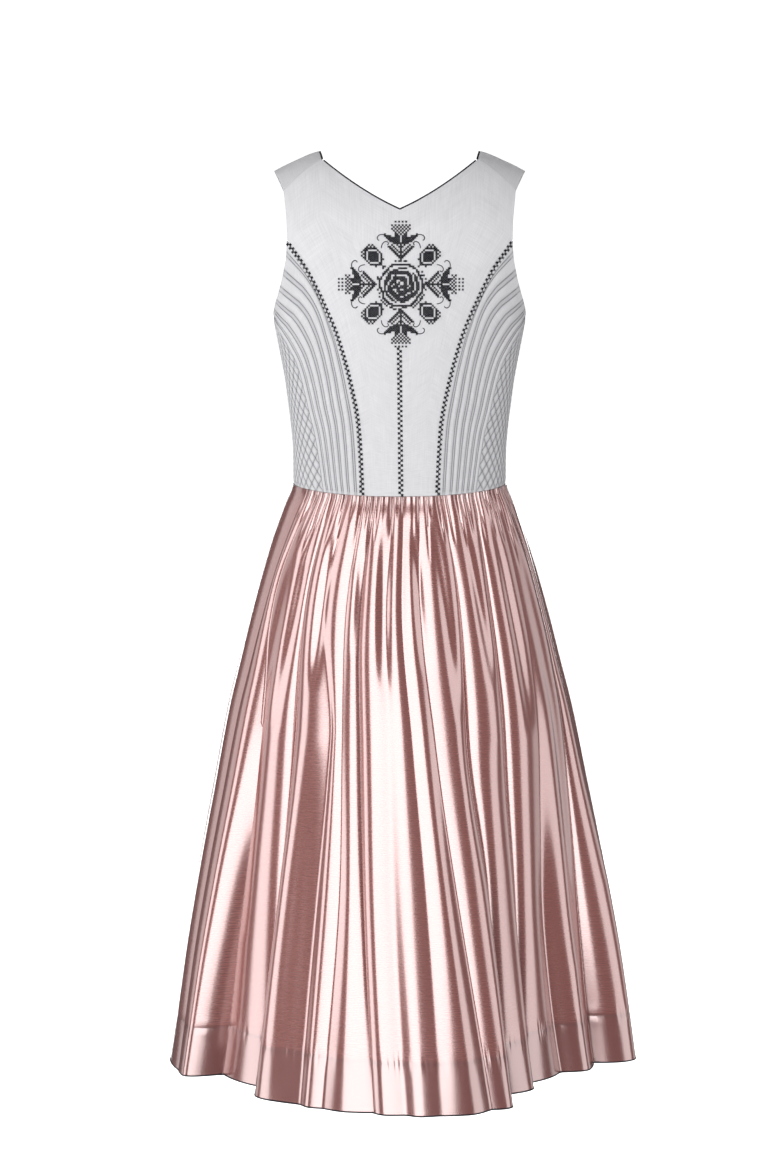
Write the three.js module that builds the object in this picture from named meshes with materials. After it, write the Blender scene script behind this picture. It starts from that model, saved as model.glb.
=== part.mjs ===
// A dirndl in its worn shape, hollow, with nobody in it: a quilted linen bodice and a gathered satin skirt.
// Millimetres, Z up, the back of the dress towards -Y, and the origin midway between the shoulders.
// Every piece of cloth is one closed wall: an outer sheet, a plainer inner sheet and the cut edges between.

import * as THREE from 'three';

// Driving dimensions
const waistSide = -402;       // height of the waist seam at the sides
const waistDip = 9;           // fall of the waist seam at waistDipAt behind or before the side line
const waistDipAt = 98;
const hemLine = -1131.5;      // cut edge of the skirt, above its piping
const bodiceWall = 2;         // linen with its interlining
const skirtWall = 1.4;        // satin
const seamGap = 0.34;         // clearance between sewn pieces
const skirtSeamGap = 0.6;     // clearance between the skirt's two sewn halves
const pipingRadius = 1.1;
const trunkPower = 2.3;       // squareness of the trunk's plan
const backArchDrop = 132;     // height over which the back rounds up to the shoulder
const frontArchDrop = 205;    // height over which the chest rounds up to the shoulder
const archPower = 1.95;
const ribRise = 1.5;          // padded ribs above their stitched grooves
const pairHalf = 0.023;       // half the width of a pair of stitch lines, as a share of the ribbed part
const diamondRise = 1.3;
const diamondColumns = 20;
const diamondRows = 26;
const seamSteps = 16;         // steps along the curved back seam
const armholeSteps = 6;       // steps up the back armhole
const frontSteps = 8;         // steps across a front
const gatherDepth = 2.3;      // depth of the gathers at the waist
const gatherEnd = -575;       // height where the gathers have run out into folds
const bust = { side: 70, height: -238, out: 15, wide: 46, above: 62, below: 50 };

// The trunk at each height: half width, and depth behind and before the side line
const trunk = table('z', [
  { z: 20, half: 195, back: 96, front: 70 },
  { z: -40, half: 193, back: 100, front: 84 },
  { z: -80, half: 189, back: 104, front: 96 },
  { z: -110, half: 183, back: 105, front: 102 },
  { z: -140, half: 174, back: 105, front: 106 },
  { z: -170, half: 163, back: 104.5, front: 108 },
  { z: -194, half: 155.5, back: 104, front: 109 },
  { z: -213, half: 152, back: 103.5, front: 109 },
  { z: -242, half: 146.5, back: 102, front: 107 },
  { z: -272, half: 141, back: 100, front: 103 },
  { z: -302, half: 137, back: 98, front: 98 },
  { z: -331, half: 133.5, back: 96, front: 93 },
  { z: -361, half: 131.2, back: 95, front: 89.5 },
  { z: -391, half: 130.8, back: 95, front: 88 },
  { z: -420, half: 132.5, back: 96, front: 89 },
]);

// The shoulder line, from the centre outwards
const shoulderLine = table('x', [
  { x: 0, z: 14 },
  { x: 60, z: 11 },
  { x: 99, z: 6 },
  { x: 130, z: -6 },
  { x: 154, z: -18 },
  { x: 200, z: -46 },
]);

// The curved back seam and the back armhole above it
const backSeam = table('z', [
  { z: -416, x: 45.5 },
  { z: -376, x: 47 },
  { z: -327, x: 50 },
  { z: -277, x: 59 },
  { z: -216, x: 76 },
  { z: -194, x: 85 },
  { z: -145, x: 108.5 },
  { z: -104, x: 136.3 },
]);
const backArmhole = table('z', [
  { z: -104, x: 136.3 },
  { z: -88, x: 136.6 },
  { z: -58, x: 139.3 },
  { z: -43.2, x: 141 },
]);

// The low half of the armhole: degrees round from the side, the back being negative
const underarm = table('along', [
  { along: 0, turn: -45.1, z: -104 },
  { along: 0.16, turn: -43.4, z: -120 },
  { along: 0.38, turn: -36.8, z: -149 },
  { along: 0.62, turn: -24.2, z: -176 },
  { along: 0.82, turn: -11, z: -190 },
  { along: 1, turn: 0, z: -194.5 },
  { along: 1.3, turn: 22, z: -192 },
]);

// The edge between ribs and diamonds, from the waist up
const quiltEdge = table('along', [
  { along: 0, x: 92.5, z: -408 },
  { along: 0.16, x: 97, z: -374 },
  { along: 0.32, x: 102.5, z: -339 },
  { along: 0.45, x: 109, z: -313 },
  { along: 0.56, x: 114.5, z: -289 },
  { along: 0.72, x: 124, z: -254 },
  { along: 0.84, x: 136, z: -230 },
  { along: 0.93, x: 147, z: -212 },
]);
const stitchPairs = [0.15, 0.32, 0.475, 0.62, 0.76, 0.89];

// Stations of a front, from the shoulder seam behind, over the shoulder and down to the waist.
// Drops are measured from the shoulder line, negative behind it; neck is the inner edge, arm the outer.
const stations = table('at', [
  { at: 0, neckX: 95, neckDrop: -12.2, armX: 141, armDrop: -31.8 },
  { at: 0.06, neckX: 97.5, neckDrop: -4, armX: 149.5, armDrop: -9 },
  { at: 0.1, neckX: 99, neckDrop: 0, armX: 154, armDrop: 0 },
  { at: 0.14, neckX: 98.6, neckDrop: 5, armX: 151.5, armDrop: 8 },
  { at: 0.2, neckX: 97, neckDrop: 22, armX: 144, armDrop: 30 },
  { at: 0.27, neckX: 94, neckDrop: 52, armX: 135, armDrop: 58 },
  { at: 0.34, neckX: 88, neckDrop: 86, armX: 128.5, armDrop: 87 },
  { at: 0.4, neckX: 75, neckDrop: 118, armX: 127.5, armDrop: 113 },
  { at: 0.45, neckX: 49, neckDrop: 142, armX: 133, armDrop: 139 },
  { at: 0.48, neckX: 24, neckDrop: 154, armX: 140, armDrop: 158 },
  { at: 0.5, neckX: 0.2, neckDrop: 160, armX: 148.2, armDrop: 177.5 },
]);
const frontRows = [0, 0.035, 0.07, 0.1, 0.13, 0.17, 0.22, 0.28, 0.34, 0.4, 0.45, 0.48, 0.5]
  .concat([0.54, 0.58, 0.62, 0.66, 0.71, 0.76, 0.82, 0.88, 0.94, 1]);
const sideSeamTurn = { top: 22, waist: 9 };

// The skirt at each height: half width, and how square its plan is
const skirt = table('z', [
  { z: -395, half: 131.5, power: 2.3 },
  { z: -406, half: 134, power: 2.3 },
  { z: -423, half: 141.5, power: 2.25 },
  { z: -448, half: 151, power: 2.2 },
  { z: -473, half: 160, power: 2.15 },
  { z: -499, half: 168.5, power: 2.1 },
  { z: -524, half: 176, power: 2.05 },
  { z: -574, half: 190, power: 2 },
  { z: -625, half: 203, power: 2 },
  { z: -675, half: 216, power: 2 },
  { z: -777, half: 237, power: 2 },
  { z: -880, half: 258, power: 2 },
  { z: -984, half: 277, power: 2 },
  { z: -1088, half: 292, power: 2 },
  { z: -1140, half: 299, power: 2 },
]);
const backSpring = 0.9;    // how much of the skirt's widening goes to the back
const frontSpring = 0.75;
const lobeStart = -560;    // height where the hem's broad lobes begin
const foldLevels = [-404, -535, -700, -890, -1134];

// Folds of the skirt, one row for each crease, clockwise from the left side over the back: its places in
// degrees at the waist, hip, thigh, knee and hem, its depths at the last four, how far the cloth after it
// stands out at the hem, and how many gathers that cloth has at the waist. tuck: how far the crease runs
// under the fold after it. shape: 1 turns sharply, -1 softly.
// waist, hip, thigh, knee, hem, deepHip, deepThigh, deepKnee, deepHem, out, gathers, tuck, shape
const backFolds = [
  [33, 24.4, 21.2, 19, 17, 3, 4, 4, 4, -6, 2, 0, -0.25],
  [41, 31, 36, 33, 28, 4, 5, 5, 3, -50, 4, 0, -0.4],
  [53.8, 49.5, 52.2, 50.6, 48, 6, 10, 11, 7, -13, 3, 6, 1],
  [64, 60, 67.5, 66.5, 65, 3, 3, 3, 1, -6, 2, 0, -1],
  [70, 69, 71.5, 73.5, 71.5, 3, 2, 2, 1.5, 0, 2, 0, -0.6],
  [77, 75.2, 78, 80.5, 84, 7, 7, 5, 2.5, 8, 3, 0, 0],
  [86, 84.8, 86.5, 88, 91, 4, 1.5, 1.5, 1, 14, 2, 0, -1],
  [92, 90.8, 94, 97, 99, 3, 3, 3, 2, 15, 2, 0, -0.7],
  [100, 98, 101, 105.5, 111.5, 4, 4, 6, 4, 5, 4, 0, -0.5],
  [112, 113.8, 113, 117, 118.5, 6, 10, 9, 4, -45, 5, -5, 1],
  [130, 129, 128.5, 130, 133, 8, 12, 12, 5, -69, 5, -5, 0.8],
  [146, 146, 144, 143, 151, 4, 4, 4, 4, -45, 4, 0, -0.9],
  [160, 166, 165, 165, 169, 7, 9, 9, 6, 3, 7, 0, 0],
  [183, 183, 183, 183, 183, 3, 4, 5, 5, 0, 0, 0, -0.25],
].map(foldRow);
const frontFolds = [
  [183, 183, 183, 183, 183, 3, 4, 5, 5, 3, 3, 0, -0.25],
  [199, 201, 202, 204, 205, 3, 4, 6, 6, -8, 3, 0, 0],
  [214, 217, 219, 222, 224, 2, 3, 5, 5, 4, 3, 0, -1],
  [228, 231, 234, 237, 238, 3, 5, 7, 7, -6, 3, 0, 0],
  [242, 246, 248, 252, 256, 2, 3, 4, 4, 8, 3, 0, -1],
  [256, 260, 263, 267, 269, 3, 5, 7, 7, 10, 3, 0, 0],
  [270, 273, 276, 282, 286, 2, 3, 5, 5, -4, 3, 0, 0],
  [284, 287, 291, 297, 300, 3, 5, 7, 7, 5, 3, 0, -0.5],
  [299, 303, 307, 314, 319, 2, 4, 6, 6, -8, 3, 0, 0],
  [314, 320, 324, 330, 334, 3, 4, 5, 5, -3, 3, 0, -0.5],
  [332, 340, 343, 349, 352, 2, 3, 4, 4, -6, 1, 0, 0],
  [393, 384.4, 381.2, 379, 377, 3, 4, 4, 4, 0, 0, 0, -0.25],
].map(foldRow);

const gatherRows = [-404, -409, -417, -430, -452, -485, -525];
const foldRows = [-575, -635, -705, -790, -870, -950, -1025, -1085, hemLine];
const foldSteps = [0, 0.14, 0.36, 0.64, 0.86];

function foldRow([waist, hip, thigh, knee, hem, deepHip, deepThigh, deepKnee, deepHem, ...rest]) {
  const [out, gathers, tuck, shape] = rest;
  const places = [waist, hip, thigh, knee, hem];
  const depths = [2, deepHip, deepThigh, deepKnee, deepHem];
  return { places, depths, out, gathers, tuck, shape };
}

// A table with its rows in rising order of one column
function table(by, rows) {
  return { by, rows: [...rows].sort((a, b) => a[by] - b[by]) };
}

// Value between knots on a smooth curve that never overshoots them
function smooth(keys, values, at) {
  const last = keys.length - 1;
  if (at <= keys[0]) return values[0];
  if (at >= keys[last]) return values[last];
  let i = 0;
  while (keys[i + 1] < at) i += 1;
  const rise = (k) => (values[k + 1] - values[k]) / (keys[k + 1] - keys[k]);
  const slope = (k) => {
    if (k === 0) return rise(0);
    if (k === last) return rise(last - 1);
    const before = rise(k - 1);
    const after = rise(k);
    return before * after <= 0 ? 0 : (2 * before * after) / (before + after);
  };
  const span = keys[i + 1] - keys[i];
  const t = (at - keys[i]) / span;
  const h = t * t * (3 - 2 * t);
  const entering = slope(i) * span * t * (1 - t) * (1 - t);
  const leaving = slope(i + 1) * span * t * t * (1 - t);
  return values[i] + (values[i + 1] - values[i]) * h + entering - leaving;
}

function read({ by, rows }, column, at) {
  return smooth(rows.map((row) => row[by]), rows.map((row) => row[column]), at);
}

const mix = (a, b, t) => a + (b - a) * t;
const clamp01 = (t) => Math.min(1, Math.max(0, t));
const ease = (t) => clamp01(t) ** 2 * (3 - 2 * clamp01(t));
const radians = THREE.MathUtils.degToRad;
const steps = (count) => Array.from({ length: count + 1 }, (unused, i) => i / count);

// Height of the waist seam at a place before or behind the side line
function waistHeight(y) {
  return waistSide - waistDip * (y / waistDipAt) ** 2;
}

// Rounding up to the shoulder: 0 on the shoulder line, 1 well below it
function shoulderArch(drop, facing) {
  const reach = facing < 0 ? backArchDrop : frontArchDrop;
  const left = 1 - clamp01(drop / reach);
  return (1 - left ** archPower) ** (1 / archPower);
}

function bustSwell(x, z) {
  const tall = z > bust.height ? bust.above : bust.below;
  const across = (Math.abs(x) - bust.side) / bust.wide;
  const up = (z - bust.height) / tall;
  return bust.out * Math.exp(-across * across - up * up);
}

// Point of the trunk at a share of its half width, with the matching share of its depth
function trunkPoint(across, deep, z, facing) {
  const x = read(trunk, 'half', z) * across;
  const drop = read(shoulderLine, 'z', Math.abs(x)) - z;
  const depth = read(trunk, facing < 0 ? 'back' : 'front', z);
  let y = facing * depth * deep * shoulderArch(drop, facing);
  if (facing > 0) y += bustSwell(x, z) * ease(deep * 1.6);
  return new THREE.Vector3(x, y, z);
}

function trunkByX(x, z, facing) {
  const across = Math.min(1, Math.abs(x) / read(trunk, 'half', z));
  const deep = (1 - across ** trunkPower) ** (1 / trunkPower);
  return trunkPoint(across * Math.sign(x || 1), deep, z, facing);
}

function trunkByTurn(turn, z) {
  const c = Math.cos(radians(turn));
  const s = Math.abs(Math.sin(radians(turn)));
  const size = (c ** trunkPower + s ** trunkPower) ** (-1 / trunkPower);
  return trunkPoint(c * size, s * size, z, turn < 0 ? -1 : 1);
}

function turnOf(x, z) {
  const across = x / read(trunk, 'half', z);
  const deep = (1 - across ** trunkPower) ** (1 / trunkPower);
  return -THREE.MathUtils.radToDeg(Math.atan2(deep, across));
}

// Outward normal of a sheet given as a function of two shares
function sheetNormal(sheet, u, v, span = 0.004) {
  const du = sheet(u + span, v).sub(sheet(u - span, v));
  const dv = sheet(u, v + span).sub(sheet(u, v - span));
  return du.cross(dv).normalize();
}

// The point moved in through the wall; the cut edge at the waist stays level with the seam
function inside(point, normal, depth, atWaist = false) {
  const moved = point.clone().addScaledVector(normal, -depth);
  if (atWaist) moved.z = waistHeight(moved.y);
  return moved;
}

// Closed wall from an outer and an inner sheet, each a list of lines of points.
// stitch(i, j) tells which way a cell of the outer sheet is halved, or null for the shorter way.
function wallBody(outer, inner, stitch = null) {
  const points = [];
  const faces = [];
  const index = new Map();
  const id = (point) => {
    if (!index.has(point)) {
      index.set(point, points.length);
      points.push(point);
    }
    return index.get(point);
  };
  const face = (a, b, c) => faces.push([id(a), id(b), id(c)]);

  // A point's share of the way along its line: its own, where it carries one, or by counting
  const shareOf = (line, k) => {
    const carried = line[0].share < line[line.length - 1].share && k < line.length;
    return carried ? line[k].share : k / (line.length - 1);
  };

  // Fills the band between two lines that may have different counts
  const band = (first, second, choose) => {
    let i = 0;
    let j = 0;
    while (i < first.length - 1 || j < second.length - 1) {
      const nextFirst = shareOf(first, i + 1);
      const nextSecond = shareOf(second, j + 1);
      let forward = nextFirst < nextSecond;
      if (first.length === second.length && i === j) forward = choose(i);
      else if (first.length === second.length) forward = i < j;
      if (i === first.length - 1) forward = false;
      if (j === second.length - 1) forward = true;
      if (forward) {
        face(first[i], second[j], first[i + 1]);
        i += 1;
      } else {
        face(first[i], second[j], second[j + 1]);
        j += 1;
      }
    }
  };
  const shorter = (a, b) => (k) => a[k + 1].distanceTo(b[k]) < a[k].distanceTo(b[k + 1]);
  const skin = (lines, side) => {
    for (let i = 0; i + 1 < lines.length; i += 1) {
      const [a, b] = side > 0 ? [lines[i], lines[i + 1]] : [lines[i + 1], lines[i]];
      const rule = stitch && side > 0 ? (k) => stitch(i, k) : null;
      band(a, b, rule && rule(0) !== null ? rule : shorter(a, b));
    }
  };
  skin(outer, 1);
  skin(inner, -1);
  const starts = (lines) => lines.map((line) => line[0]);
  const ends = (lines) => lines.map((line) => line[line.length - 1]);
  const rims = [
    [inner[0], outer[0]],
    [outer[outer.length - 1], inner[inner.length - 1]],
    [starts(outer), starts(inner)],
    [ends(inner), ends(outer)],
  ];
  rims.forEach(([a, b]) => band(a, b, shorter(a, b)));
  return solid(points, faces);
}

// Geometry with its faces pointing out, whichever way it was wound
function solid(points, faces) {
  let volume = 0;
  faces.forEach(([a, b, c]) => {
    volume += points[a].dot(new THREE.Vector3().crossVectors(points[b], points[c]));
  });
  const order = volume < 0 ? faces.map(([a, b, c]) => [a, c, b]) : faces;
  const geometry = new THREE.BufferGeometry();
  geometry.setAttribute('position', new THREE.Float32BufferAttribute(points.flatMap((p) => p.toArray()), 3));
  geometry.setIndex(order.flat());
  return geometry;
}

// Round cord along a path, each station with its two section directions
function pipingBody(stationsOfCord, sides = 6) {
  const rings = stationsOfCord.map(({ centre, first, second }) => steps(sides).slice(0, sides).map((share) => {
    const turn = share * 2 * Math.PI;
    return centre.clone()
      .addScaledVector(first, pipingRadius * Math.cos(turn))
      .addScaledVector(second, pipingRadius * Math.sin(turn));
  }));
  const points = rings.flat();
  const faces = [];
  const at = (ring, side) => ring * sides + (side % sides);
  for (let ring = 0; ring + 1 < rings.length; ring += 1) {
    for (let side = 0; side < sides; side += 1) {
      faces.push([at(ring, side), at(ring, side + 1), at(ring + 1, side + 1)]);
      faces.push([at(ring, side), at(ring + 1, side + 1), at(ring + 1, side)]);
    }
  }
  const end = rings.length - 1;
  for (let side = 1; side + 1 < sides; side += 1) {
    faces.push([at(0, 0), at(0, side + 1), at(0, side)]);
    faces.push([at(end, 0), at(end, side), at(end, side + 1)]);
  }
  return solid(points, faces);
}

// Cord stations beyond the edge of a sheet: edge(t) on the edge, within(t) just inside it
function edgeCord(shares, edge, within, normalAt, wall) {
  return shares.map((share) => {
    const on = edge(share);
    const along = edge(share + 0.002).sub(edge(share - 0.002)).normalize();
    const normal = normalAt(share);
    const out = on.clone().sub(within(share));
    out.addScaledVector(along, -out.dot(along)).normalize();
    const centre = on.clone()
      .addScaledVector(out, pipingRadius + seamGap)
      .addScaledVector(normal, -wall / 2);
    return { centre, first: out, second: new THREE.Vector3().crossVectors(along, out).normalize() };
  });
}

const mirrored = (point) => new THREE.Vector3(-point.x, point.y, point.z);

// Half width of the back at a height, on the seam or on the armhole
function backEdge(z) {
  return z < -104 ? read(backSeam, 'x', z) : read(backArmhole, 'x', z);
}

// Neckline behind, then the shoulder seam, by distance from the centre
const neckEndX = 95;
function backTop(x) {
  const far = Math.abs(x);
  if (far <= neckEndX) return -67 + 0.45 * far + 0.0021 * far * far;
  return -5.2 - 0.6 * (far - neckEndX) - 0.005 * (far - neckEndX) ** 2;
}

// Back: across from -1 to 1, up from 0 at the waist to 1 at neck and shoulder
const backTipX = 141;
function backSheet(across, up) {
  const low = waistHeight(-95);
  const edgeZ = mix(low, backTop(backTipX), up);
  const x = across * backEdge(edgeZ);
  const topZ = backTop(across * backTipX);
  const lowZ = waistHeight(trunkByX(x, low, -1).y);
  return trunkByX(x, mix(lowZ, topZ, up), -1);
}

function backPanel() {
  const low = waistHeight(-95);
  const seamTopShare = (-104 - low) / (backTop(backTipX) - low);
  const rows = [
    ...steps(seamSteps).map((t) => t * seamTopShare),
    ...steps(armholeSteps).slice(1).map((t) => mix(seamTopShare, 1, 1 - (1 - t) ** 1.5)),
  ];
  const neckShare = neckEndX / backTipX;
  const half = [...steps(5).map((t) => t * neckShare), ...steps(frontSteps).slice(1).map((t) => mix(neckShare, 1, t))];
  const plain = steps(12).map((t) => 2 * t - 1);
  const full = [...half.slice(1).reverse().map((t) => -t), ...half];
  const layer = (depth) => rows.map((up) => {
    const places = up > 0.93 ? full : plain;
    return places.map((across) => {
      const point = backSheet(across, up);
      const normal = sheetNormal(backSheet, across * 0.99, Math.min(up, 0.992));
      const moved = inside(point, normal, depth, up === 0);
      const pull = Math.abs(across) === 1 ? seamGap / 2 : 0;
      moved.x -= Math.sign(across) * pull;
      return moved;
    });
  });
  return wallBody(layer(0), layer(bodiceWall));
}

// Side panel: its seam with the back, the edge between ribs and diamonds, and the side seam
function seamLine(up) {
  const z = mix(waistHeight(-91), -104, up);
  const x = backEdge(z);
  return { turn: turnOf(x, z), z };
}
function ribEdge(up) {
  const top = 0.93;
  if (up > top) {
    const t = (up - top) / (1 - top);
    return { turn: mix(turnOf(147, -212), 0, t), z: mix(-212, -194.5, t) };
  }
  const z = read(quiltEdge, 'z', up);
  return { turn: turnOf(read(quiltEdge, 'x', up), z), z };
}
function sideSeam(up) {
  return { turn: mix(sideSeamTurn.waist, sideSeamTurn.top, up), z: mix(waistSide, -192, up) };
}
function armholeAt(along) {
  return { turn: read(underarm, 'turn', along), z: read(underarm, 'z', along) };
}

// Sheet between two upright lines whose tops lie on the armhole from one place to another
function sideSheet(left, right, from, to) {
  return (across, up) => {
    const top = armholeAt(mix(from, to, across));
    const a = left(up);
    const b = right(up);
    const plainTop = { turn: mix(left(1).turn, right(1).turn, across), z: mix(left(1).z, right(1).z, across) };
    const pull = ease(up) * up;
    const turn = mix(a.turn, b.turn, across) + (top.turn - plainTop.turn) * pull;
    let z = mix(a.z, b.z, across) + (top.z - plainTop.z) * pull;
    const level = waistHeight(trunkByTurn(turn, waistSide).y);
    const plainLow = mix(left(0).z, right(0).z, across);
    z += (level - plainLow) * (1 - ease(up * 3));
    return trunkByTurn(turn, z);
  };
}
const ribSheet = sideSheet(seamLine, ribEdge, 0, 1);
const diamondSheet = sideSheet(ribEdge, sideSeam, 1, 1.3);

function sidePanel() {
  const raised = (sheet, across, up, rise) => {
    const normal = sheetNormal(sheet, mix(0.01, 0.99, across), mix(0.01, 0.99, up));
    return inside(sheet(across, up), normal, -rise, up === 0);
  };
  const closeToEdge = (t) => ease(t * 12) * ease((1 - t) * 12);
  const shift = (point, amount) => {
    point.x += amount;
    return point;
  };
  const ribLine = (across, rise) => steps(seamSteps).map((up) => (
    raised(ribSheet, across, up, rise * closeToEdge(up))));
  const ribs = [{ across: 0, rise: 0 }];
  let edge = 0;
  stitchPairs.forEach((pair, i) => {
    ribs.push({ across: (edge + pair - pairHalf) / 2, rise: i === 0 ? ribRise * 0.6 : ribRise });
    ribs.push({ across: pair - pairHalf, rise: 0 }, { across: pair + pairHalf, rise: 0 });
    edge = pair + pairHalf;
  });
  ribs.push({ across: (edge + 1) / 2, rise: ribRise * 0.7 });
  const outer = ribs.map(({ across, rise }) => ribLine(across, rise));
  outer[0] = outer[0].map((point) => shift(point, seamGap / 2));
  const firstDiamond = outer.length;
  for (let i = 0; i <= diamondColumns; i += 1) {
    outer.push(steps(diamondRows).map((up, j) => {
      const edgeOfPatch = i === 0 || i === diamondColumns || j === 0 || j === diamondRows;
      const high = (i + j) % 2 === 1 && !edgeOfPatch;
      return raised(diamondSheet, i / diamondColumns, up, high ? diamondRise : 0);
    }));
  }
  const last = outer.length - 1;
  const pulled = new THREE.Vector3(0, -seamGap / 2, 0);
  outer[last] = outer[last].map((point) => point.add(pulled));

  // The inside is plain and has fewer points
  const sunk = (sheet, across, up) => {
    const normal = sheetNormal(sheet, mix(0.01, 0.99, across), mix(0.01, 0.99, up));
    return inside(sheet(across, up), normal, bodiceWall, up === 0);
  };
  const inner = [0, 0.33, 0.66, 1].map((across) => (
    steps(across === 0 ? seamSteps : 9).map((up) => sunk(ribSheet, across, up))));
  [0.34, 0.67, 1].forEach((across) => {
    inner.push(steps(across === 1 ? diamondRows : 9).map((up) => sunk(diamondSheet, across, up)));
  });
  inner[0] = inner[0].map((point) => shift(point, seamGap / 2));
  inner[inner.length - 1] = inner[inner.length - 1].map((point) => point.add(pulled));
  const stitch = (i, j) => (i < firstDiamond ? null : (i - firstDiamond + j) % 2 !== 0);
  return wallBody(outer, inner, stitch);
}

// Front, which runs back over the shoulder. at: station along it, across: 0 at neck and centre, 1 outside
function frontEdges(at) {
  if (at <= 0.5) {
    return {
      neckX: read(stations, 'neckX', at),
      neckDrop: read(stations, 'neckDrop', at),
      armX: read(stations, 'armX', at),
      armDrop: read(stations, 'armDrop', at),
    };
  }
  const down = (at - 0.5) * 2;
  const neckTop = read(shoulderLine, 'z', 0) - read(stations, 'neckDrop', 0.5);
  const neckZ = mix(neckTop, waistHeight(88), down);
  const side = sideSeam(1 - down);
  const point = trunkByTurn(side.turn, down === 1 ? waistHeight(20) : side.z);
  return {
    neckX: 0.2,
    neckDrop: read(shoulderLine, 'z', 0) - neckZ,
    armX: point.x,
    armDrop: read(shoulderLine, 'z', point.x) - point.z,
  };
}

function frontSheet(across, at) {
  const edges = frontEdges(Math.min(1, Math.max(0, at)));
  const neckZ = read(shoulderLine, 'z', edges.neckX) - Math.abs(edges.neckDrop);
  const armZ = read(shoulderLine, 'z', edges.armX) - Math.abs(edges.armDrop);
  const round = Math.max(edges.armX * 1.02, read(trunk, 'half', armZ));
  const turn = mix(Math.asin(edges.neckX / round), Math.asin(edges.armX / round), across);
  const x = round * Math.sin(turn);
  const drop = mix(edges.neckDrop, edges.armDrop, across);
  const hung = read(shoulderLine, 'z', x) - Math.abs(drop);
  const z = mix(hung, mix(neckZ, armZ, across), ease((at - 0.2) / 0.3));
  return trunkByX(x, z, drop < 0 ? -1 : 1);
}

function frontPanel() {
  const layer = (depth) => frontRows.map((at) => steps(frontSteps).map((across) => {
    let point = frontSheet(across, at);
    if (at === 0) {
      const x = mix(neckEndX, backTipX, across);
      point = trunkByX(x, backTop(x), -1);
    }
    if (at === 1) point = trunkByX(point.x, waistHeight(point.y), 1);
    const normal = sheetNormal(frontSheet, mix(0.01, 0.98, across), mix(0.006, 0.994, at), 0.003);
    if (normal.dot(new THREE.Vector3(point.x, point.y, at < 0.2 ? 300 : 0)) < 0) normal.negate();
    const moved = inside(point, normal, depth, at === 1);
    if (at === 0) moved.z += seamGap * 0.8;
    if (across === 0 && at >= 0.5) moved.x = seamGap / 2;
    if (across === 1 && at >= 0.5) moved.y += seamGap / 2;
    return moved;
  }));
  return wallBody(layer(0), layer(bodiceWall));
}

// Neck piping, beyond the neck edge of the back and of each front
function backNeckPiping() {
  const reach = neckEndX / backTipX;
  const shares = steps(10);
  shares[0] = 0.01;
  shares[10] = 0.99;
  const edge = (t) => backSheet(mix(-reach, reach, t), 1);
  const within = (t) => backSheet(mix(-reach, reach, t), 0.98);
  const normalAt = (t) => sheetNormal(backSheet, mix(-reach, reach, t), 0.98);
  return pipingBody(edgeCord(shares, edge, within, normalAt, bodiceWall));
}
function frontNeckPiping() {
  const shares = [0.012, ...frontRows.filter((at) => at > 0.012 && at < 0.5), 0.497];
  const edge = (at) => frontSheet(0, at);
  const within = (at) => frontSheet(0.06, at);
  const normalAt = (at) => {
    const normal = sheetNormal(frontSheet, 0.03, mix(0.006, 0.994, at), 0.003);
    const point = edge(at);
    return normal.dot(new THREE.Vector3(point.x, point.y, at < 0.2 ? 300 : 0)) < 0 ? normal.negate() : normal;
  };
  return pipingBody(edgeCord(shares, edge, within, normalAt, bodiceWall));
}

// Plan of the skirt without folds: angle clockwise from the left side over the back
function skirtPlan(angle, z) {
  const half = read(skirt, 'half', z);
  const power = read(skirt, 'power', z);
  const c = -Math.cos(radians(angle));
  const s = -Math.sin(radians(angle));
  const size = (Math.abs(c) ** power + Math.abs(s) ** power) ** (-1 / power);
  const wider = half - 131.5;
  const depth = s < 0 ? 95 + backSpring * wider : 88 + frontSpring * wider;
  return new THREE.Vector3(half * size * c, depth * size * s, z);
}

// A fold's value at a height, from its values at the fold levels
function atLevel(values, z) {
  return smooth([...foldLevels].reverse(), [...values].reverse(), z);
}

// Point of the skirt. at counts the creases: whole numbers are creases, and halves the crests between
function skirtPoint(folds, at, z, gathered = true) {
  const count = folds.length - 1;
  const i = Math.min(count - 1, Math.max(0, Math.floor(at)));
  const share = at - i;
  const here = folds[i];
  const next = folds[i + 1];
  const grown = ease((lobeStart - z) / (lobeStart - hemLine));
  const out = here.out * grown;
  const low = (k) => {
    const before = folds[Math.max(0, k - 1)].out;
    const after = folds[Math.min(count - 1, k)].out;
    return Math.min(before, after) * grown - atLevel(folds[k].depths, z);
  };
  const [near, distance] = share < 0.5 ? [i, share * 2] : [i + 1, 2 - share * 2];
  const { shape } = folds[near];
  const power = 0.62 - 0.25 * Math.max(shape, 0) * grown - 0.8 * Math.min(shape, 0);
  const rise = Math.sin(Math.PI / 2 * clamp01(distance)) ** power;
  let offset = mix(low(near), out, rise);
  const fade = clamp01((z - gatherEnd) / (waistSide - gatherEnd)) ** 1.3;
  if (gathered) offset -= gatherDepth * fade * (0.5 - 0.5 * Math.cos(2 * Math.PI * here.gathers * share + Math.PI));
  const tucked = (k, side) => folds[k].tuck * grown * side;
  const slide = near === i
    ? mix(tucked(i, 1), 0, Math.min(1, distance)) - (here.tuck > 0 ? tucked(i, 1) * Math.sin(Math.PI * distance) : 0)
    : mix(tucked(i + 1, 1), 0, Math.min(1, distance)) - (next.tuck < 0 ? tucked(i + 1, 1) * Math.sin(Math.PI * distance) : 0);
  const angle = mix(atLevel(here.places, z), atLevel(next.places, z), share);
  const base = skirtPlan(angle, z);
  const along = skirtPlan(angle + 0.5, z).sub(skirtPlan(angle - 0.5, z)).normalize();
  const outward = new THREE.Vector3(along.y, -along.x, 0);
  const point = base.addScaledVector(outward, offset).addScaledVector(along, slide);
  const level0 = waistHeight(point.y) - waistSide;
  point.z = z + level0 * (1 - ease((foldLevels[0] - z) / 160));
  return point;
}

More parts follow.
